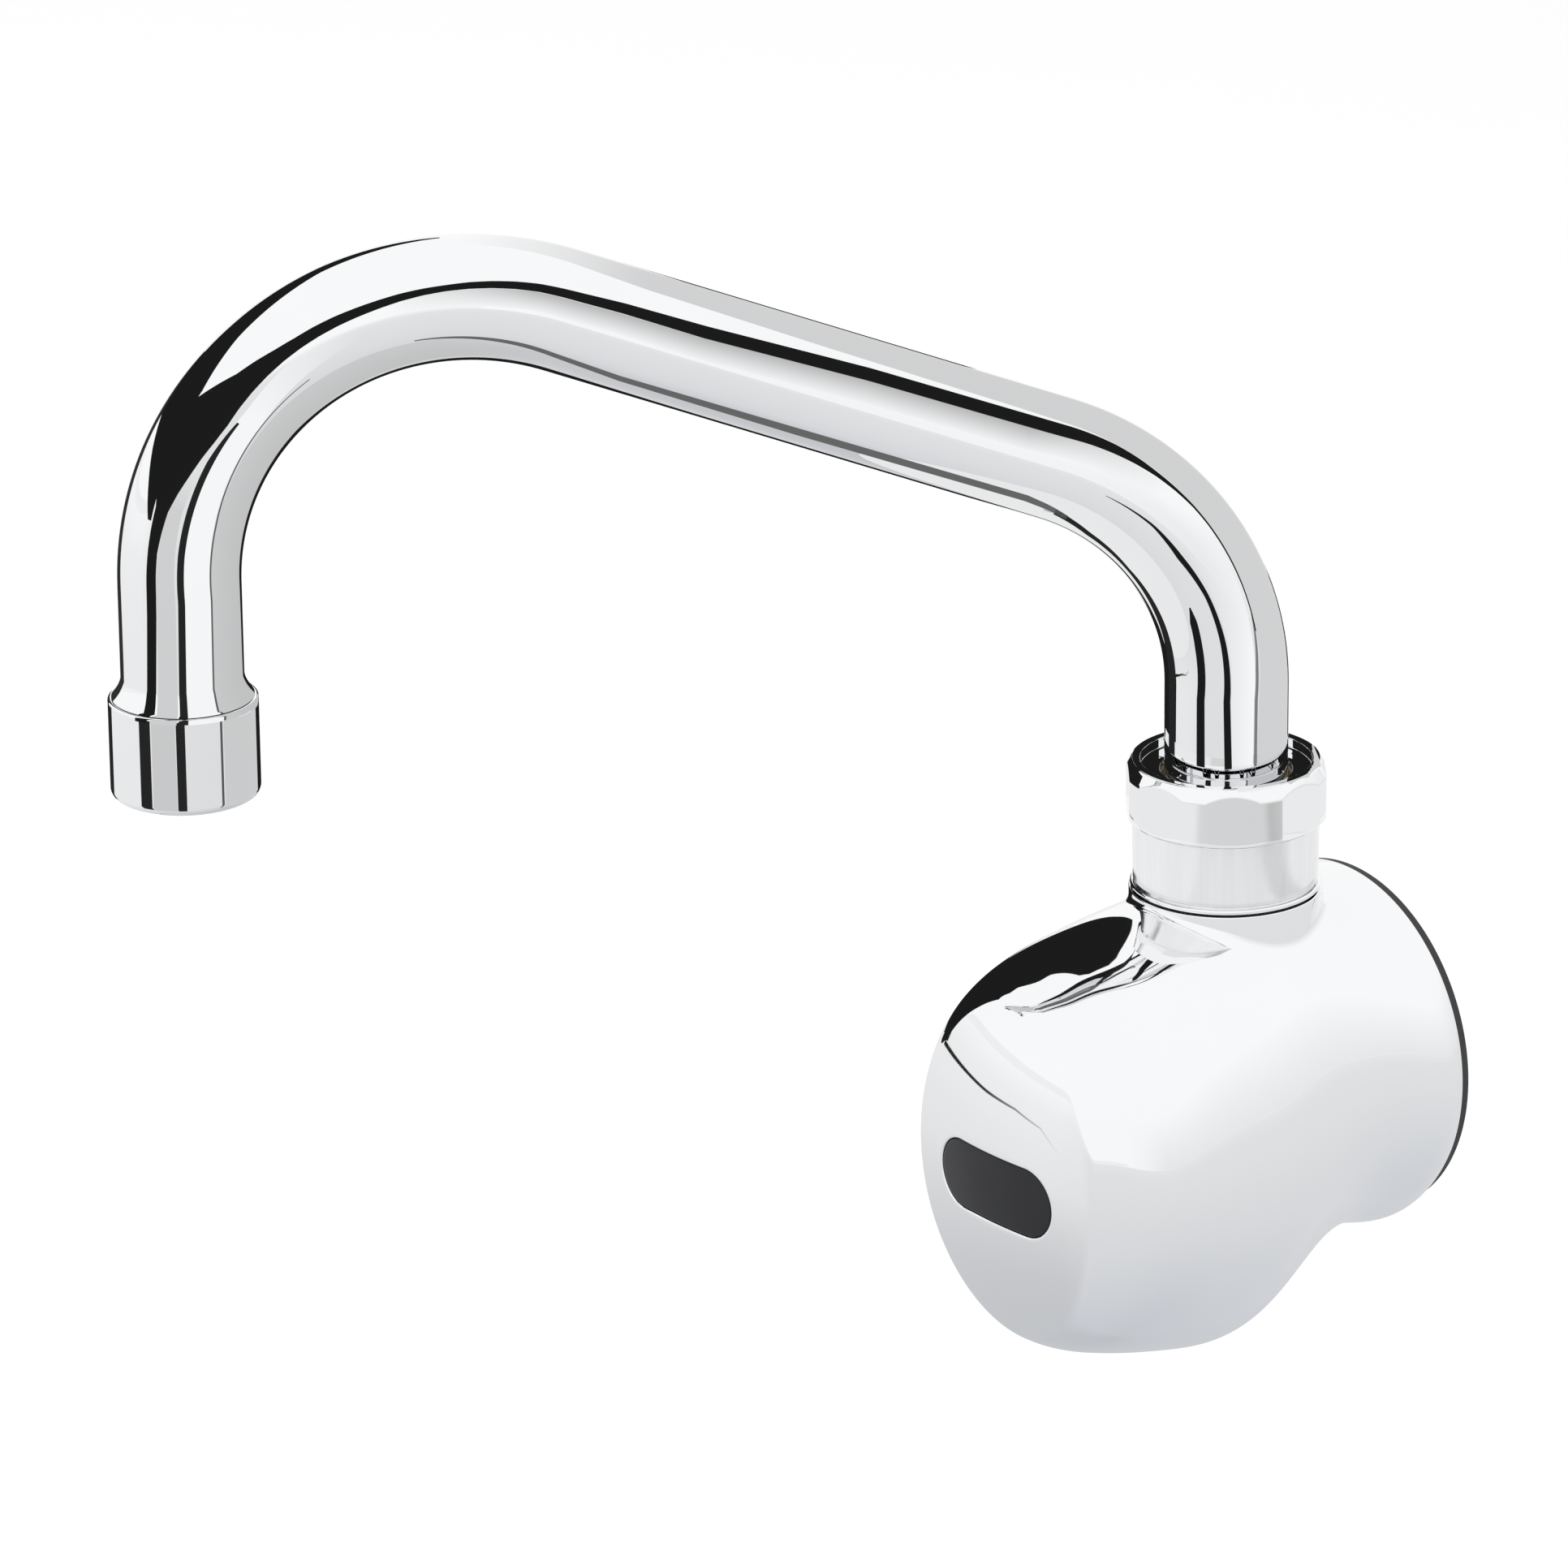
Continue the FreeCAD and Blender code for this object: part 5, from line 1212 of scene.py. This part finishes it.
# Elevations below the horizon at which the underside card has a ring, seen from the tap; the
# first is just short of straight down, where the ring would shrink to a point
UNDERSIDE_RINGS = (89.99, 70.0, 55.0, 45.0, 38.0, 32.0, 26.0, 20.0, 15.0, 11.0, 8.0, 6.0, 4.5,
                   3.5, 2.0)
# Azimuths with the share of RIGHT_SHADES there, and elevations with the share of a cool tint
RIGHT_SHARE = ((-180, 1.0), (-120, 0.0), (-25, 0.0), (15, 1.0), (180, 1.0))
COOL_SHARE = ((10.0, 0.0), (70.0, 1.0))
# Glowing rings whose reflections paint light and grey bands on the adapter and the nut: name,
# inner and outer radius in mm, then azimuths with shades
STEM_LIGHTS = (
    ("adapter_light", 15.6, 40.5,
     ((-180.0, 0.94), (20.0, 0.94), (26.0, 0.86), (84.0, 0.86), (89.0, 0.71), (106.0, 0.73),
      (116.0, 0.90), (180.0, 0.94))),
    ("nut_light", 41.0, 72.0,
     ((-180.0, 0.88), (20.0, 0.86), (25.0, 0.70), (88.0, 0.68), (94.0, 0.52), (112.0, 0.62),
      (126.0, 0.88), (180.0, 0.88))),
)
LIGHT_LIFT = 1.5 * MM       # above the casting, so that the light is clear from it
# Dark screen behind the nut's rim, whose reflection paints the rim dark: distance from the stem's
# axis and two heights, in mm
RIM_SCREEN_AWAY, RIM_SCREEN_HEIGHTS = 21.0, (50.0, 78.0)
FLOOR_HALF = 9.0            # metres
UNDERSIDE_LIFT = 0.01       # metres from the floor up to the underside card
SIDE_CARD_AWAY = 4.0        # metres
LAMP_SIZE = (1.6, 1.2)      # metres
LAMP_AT = (5, 62)           # azimuth and elevation
LAMP_AWAY = 1.6             # metres
LAMP_TARGET = Vector((0.0, -0.05, 0.0))
TAP_MIDDLE = Vector((0.0, -0.04, 0.0))
SENSOR_WIDTH = 36.0         # millimetres


class TAP_OT_stage(Operator):
    """Set up the pale floor, the soft light, the cards and the camera"""
    bl_idname = "tap.stage"
    bl_label = "Studio"

    def execute(self, context):
        scene, stage = context.scene, context.scene.tap_stage
        scene.view_settings.view_transform = "Standard"
        self.floor(stage)
        self.surroundings(scene, stage)
        self.cards(scene)
        self.lamp(stage)
        self.camera(scene, stage)
        return {"FINISHED"}

    @staticmethod
    def looked_at(tree):
        """One where the camera, a reflection or clear glass looks, else nought."""
        rays = tree.nodes.new("ShaderNodeLightPath").outputs
        seen = calculated(tree, "MAXIMUM", rays["Is Camera Ray"], rays["Is Glossy Ray"])
        return calculated(tree, "MAXIMUM", seen, rays["Is Transmission Ray"])

    def floor(self, stage):
        """A wide pale floor that keeps the shadow."""
        mesh = bpy.data.meshes.new("studio_floor")
        mesh.from_pydata([(x * FLOOR_HALF, y * FLOOR_HALF, stage.floor_height)
                          for x, y in ((-1, -1), (1, -1), (1, 1), (-1, 1))], [], [(0, 1, 2, 3)])
        add_object("studio_floor", mesh)
        material = bpy.data.materials.new("pale_floor")
        material.use_nodes = True
        tree = material.node_tree
        shader = tree.nodes["Principled BSDF"].inputs
        shader["Base Color"].default_value = (*stage.floor, 1.0)
        shader["Roughness"].default_value = 0.9
        shader["Specular IOR Level"].default_value = 0.0
        shader["Emission Color"].default_value = (1.0, 1.0, 1.0, 1.0)
        tree.links.new(calculated(tree, "MULTIPLY", self.looked_at(tree), stage.floor_glow),
                       shader["Emission Strength"])
        mesh.materials.append(material)

    def surroundings(self, scene, stage):
        """Plain white surroundings: full white where looked at, softer as light."""
        world = bpy.data.worlds.new("studio")
        scene.world = world
        world.use_nodes = True
        tree = world.node_tree
        back = tree.nodes["Background"]
        back.inputs["Color"].default_value = (1.0, 1.0, 1.0, 1.0)
        strength = tree.nodes.new("ShaderNodeMapRange")
        strength.inputs["To Min"].default_value = stage.world
        strength.inputs["To Max"].default_value = 1.0
        tree.links.new(self.looked_at(tree), strength.inputs["Value"])
        tree.links.new(strength.outputs["Result"], back.inputs["Strength"])

    def cards(self, scene):
        """Dark and grey cards whose reflections paint the chrome's lines."""
        plain, clear_behind = shaded("plain_card"), shaded("one_sided_card", True)

        def beyond(place, azimuth, elevation):
            return (Vector(place) + toward(azimuth, elevation) * BODY_CARD_AWAY) * MM

        rows = [[beyond(place, left + (right - left) * k / (CARD_COLUMNS - 1), elevation)
                 for k in range(CARD_COLUMNS)] for place, left, right, elevation in SHOULDER_CARD]
        card("shoulder_card", rows, [[BLACK] * CARD_COLUMNS] * len(rows), plain)
        rows = [[beyond(place, azimuth, elevation) for elevation in (low, high)]
                for place, azimuth, low, high, _ in BROW_CARD]
        card("brow_card", rows, [[mark[-1]] * 2 for mark in BROW_CARD], plain)
        self.side_card(plain)
        self.underside_card(scene.tap_stage, plain)
        self.tube_lines(scene, plain)
        self.stem_cards(scene.tap_stem, clear_behind)

    @staticmethod
    def side_card(material):
        """A far card that dims the right side a little, softly at its edges."""
        azimuths = np.linspace(SIDE_AZIMUTHS[0][0], SIDE_AZIMUTHS[-1][0], CARD_COLUMNS)
        elevations = range(-6, 25, 3)
        rows = [[TAP_MIDDLE + toward(azimuth, elevation) * SIDE_CARD_AWAY for azimuth in azimuths]
                for elevation in elevations]
        shades = [[1.0 - between_marks(SIDE_AZIMUTHS, azimuth)
                   * between_marks(SIDE_ELEVATIONS, elevation) for azimuth in azimuths]
                  for elevation in elevations]
        card("soft_side_card", rows, shades, material)

    @staticmethod
    def underside_card(stage, material):
        """A round card over the floor that greys the underside, lighter outwards."""
        height = stage.floor_height + UNDERSIDE_LIFT
        centre, rows, shades = Vector((0, TAP_MIDDLE.y, height)), [], []
        azimuths = range(-180, 180, 5)
        for below in UNDERSIDE_RINGS:
            reach = -height / math.tan(math.radians(below))
            rows.append([centre + toward(azimuth, 0) * reach for azimuth in azimuths])
            row, cool = [], between_marks(COOL_SHARE, below)
            for azimuth in azimuths:
                side = between_marks(RIGHT_SHARE, azimuth)
                grey = (between_marks(LEFT_SHADES, below) * (1 - side)
                        + between_marks(RIGHT_SHADES, below) * side)
                row.append((grey * (1 - 0.03 * cool), grey, min(1.0, grey * (1 + 0.05 * cool))))
            shades.append(row)
        card("underside_card", rows, shades, material, True)

    @staticmethod
    def mirrored(centre, radius, out, up, across, camera, away):
        """Where the camera's ray, thrown back at a place across a tube, meets a wider tube."""
        height = math.atan2(camera.dot(up), camera.dot(out))
        swing = height + math.asin(max(-0.999, min(0.999, across)))
        normal = out * math.cos(swing) + up * math.sin(swing)
        ray = normal * (2 * normal.dot(camera)) - camera
        start = normal * radius
        flat = Vector((ray.dot(out), ray.dot(up)))
        foot = Vector((start.dot(out), start.dot(up)))
        along, size = foot.dot(flat), flat.dot(flat)
        reach = (-along + math.sqrt(along ** 2 + size * (away ** 2 - foot.dot(foot)))) / size
        return centre + start + ray * reach

    def tube_lines(self, scene, material):
        """Narrow cards close along the spout and the collar, whose reflections paint lines and
        bands on the chrome.
        """
        spout, stage = scene.tap_spout, scene.tap_stage
        camera = toward(math.degrees(stage.azimuth), math.degrees(stage.elevation))
        places, leg_top = spout_axis(spout)
        low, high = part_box("aerator_collar")
        places += [(spout.reach, leg_top + (high.z - leg_top) * part, -math.pi / 2)
                   for part in (0.25, 0.5, 0.75, 1.0)]
        axis, out_of, beside = spout_directions(spout, scene.tap_stem)
        steps = np.diff(np.array([place[:2] for place in places]), axis=0)
        way = np.concatenate([[0.0], np.cumsum(np.linalg.norm(steps, axis=1))])
        way /= way[-1]
        radius = spout.tube_radius
        for name, inner, outer, marks in TUBE_LINES:
            rows, shades = [], []
            away = radius * (LINE_AWAY if max(inner, outer) < PALE else SHADE_AWAY)
            for part_way in np.linspace(marks[0][0], marks[-1][0], LINE_ROWS):
                centre, lift = tube_section(axis, out_of, *(
                    float(np.interp(part_way, way, column)) for column in zip(*places)))
                across, half = (between_marks(marks, part_way, column) for column in (1, 2))
                solid = between_marks(marks, part_way, 3, 1.0)
                rows.append([self.mirrored(centre, radius, beside, lift, across + half * part,
                                           camera, away) for part in (-1.0, -0.33, 0.33, 1.0)])
                shades.append([(*[inner + (outer - inner) * part] * 3, solid)
                               for part in (0.0, 0.33, 0.67, 1.0)])
            card(name, rows, shades, material)
        radius = (high.x - low.x) / 2
        for number, (across, half, shade) in enumerate(COLLAR_BARS):
            rows = [[self.mirrored(axis + out_of * spout.reach + Vector((0, 0, height)), radius,
                                   beside, out_of, across + side * half, camera,
                                   radius * BAR_AWAY) for side in (-1.0, 1.0)]
                    for height in (low.z - 2.0 * MM, high.z)]
            card("collar_bar_%d" % number, rows, [[shade] * 2] * 2, material)

    @staticmethod
    def stem_cards(stem, material):
        """Glowing rings whose reflections paint light on the adapter and nut, and a dark screen
        behind the nut's rim whose reflection paints it dark.
        """
        centre = Vector((0, -stem.stem_depth, 0))
        level = Vector((0, 0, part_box("body_shell")[1].z + LIGHT_LIFT))
        azimuths = range(180, -181, -3)
        for name, near, far, marks in STEM_LIGHTS:
            rows = [[centre + level + toward(azimuth, 0) * (reach * MM) for azimuth in azimuths]
                    for reach in (near, far)]
            shades = [[between_marks(marks, azimuth) for azimuth in azimuths]] * 2
            light = card(name, rows, shades, material)
            if light.data.polygons[0].normal.z < 0:
                light.data.flip_normals()
        azimuths = range(-178, -79, 7)
        rows = [[centre + (toward(azimuth, 0) * RIM_SCREEN_AWAY + Vector((0, 0, height))) * MM
                 for azimuth in azimuths] for height in RIM_SCREEN_HEIGHTS]
        screen = card("rim_screen", rows, [[BLACK] * len(azimuths)] * 2, material)
        face = screen.data.polygons[0]
        if face.normal.dot(centre - face.center) < 0:
            screen.data.flip_normals()

    def lamp(self, stage):
        """One large soft lamp high in front of the tap; the surroundings do the rest."""
        lamp = bpy.data.lights.new("soft_lamp", "AREA")
        lamp.shape, (lamp.size, lamp.size_y) = "RECTANGLE", LAMP_SIZE
        lamp.energy = stage.lamp
        thing = add_object("soft_lamp", lamp)
        thing.location = LAMP_TARGET + toward(*LAMP_AT) * LAMP_AWAY
        thing.rotation_euler = (-toward(*LAMP_AT)).to_track_quat("-Z", "Y").to_euler()
        thing.visible_glossy = False

    def camera(self, scene, stage):
        """The camera of the photograph's view."""
        data = bpy.data.cameras.new("camera")
        data.lens, data.sensor_width = stage.lens, SENSOR_WIDTH
        data.clip_start, data.clip_end = 0.05, 60.0
        thing = add_object("camera", data)
        a, e, roll = stage.azimuth, stage.elevation, stage.roll
        right = Vector((math.cos(a), math.sin(a), 0))
        ahead = Vector((-math.sin(a) * math.cos(e), math.cos(a) * math.cos(e), -math.sin(e)))
        above = right.cross(ahead)
        place = right * stage.aside + above * stage.up - ahead * stage.distance
        side = right * math.cos(roll) - above * math.sin(roll)
        top = right * math.sin(roll) + above * math.cos(roll)
        thing.matrix_world = Matrix((
            (side.x, top.x, -ahead.x, place.x), (side.y, top.y, -ahead.y, place.y),
            (side.z, top.z, -ahead.z, place.z), (0, 0, 0, 1)))
        scene.camera = thing


BUILD_ORDER = (TAP_OT_casting, TAP_OT_window, TAP_OT_stem_rings, TAP_OT_swivel_nut,
               TAP_OT_spout_tube, TAP_OT_aerator, TAP_OT_inlet, TAP_OT_plate_screws,
               TAP_OT_finishes, TAP_OT_stage)
SETTINGS = (("tap_casting", TapCastingSizes), ("tap_stem", TapStemSizes),
            ("tap_spout", TapSpoutSizes), ("tap_inlet", TapInletSizes),
            ("tap_finishes", TapFinishes), ("tap_stage", TapStage))


class TAP_PT_panel(Panel):
    """Buttons and sizes of the sensor tap"""
    bl_idname = "TAP_PT_panel"
    bl_label = "Sensor tap"
    bl_space_type = "VIEW_3D"
    bl_region_type = "UI"
    bl_category = "Sensor tap"

    def draw(self, context):
        column = self.layout.column(align=True)
        for step in BUILD_ORDER:
            column.operator(step.bl_idname)
        for name, group in SETTINGS:
            box = self.layout.box()
            box.label(text=group.__doc__)
            settings = getattr(context.scene, name)
            for field in group.__annotations__:
                box.prop(settings, field)


def register():
    """Make the settings, buttons and panel known."""
    for name, group in SETTINGS:
        bpy.utils.register_class(group)
        setattr(bpy.types.Scene, name, PointerProperty(type=group))
    for step in BUILD_ORDER:
        bpy.utils.register_class(step)
    bpy.utils.register_class(TAP_PT_panel)


def unregister():
    """Take them away again."""
    bpy.utils.unregister_class(TAP_PT_panel)
    for step in reversed(BUILD_ORDER):
        bpy.utils.unregister_class(step)
    for name, group in reversed(SETTINGS):
        delattr(bpy.types.Scene, name)
        bpy.utils.unregister_class(group)


def main():
    """Build the tap and its stage."""
    register()
    bpy.ops.tap.casting()
    bpy.ops.tap.window()
    bpy.ops.tap.stem_rings()
    bpy.ops.tap.swivel_nut()
    bpy.ops.tap.spout_tube()
    bpy.ops.tap.aerator()
    bpy.ops.tap.inlet()
    bpy.ops.tap.plate_screws()
    bpy.ops.tap.finishes()
    bpy.ops.tap.stage()


if __name__ == "__main__":
    main()
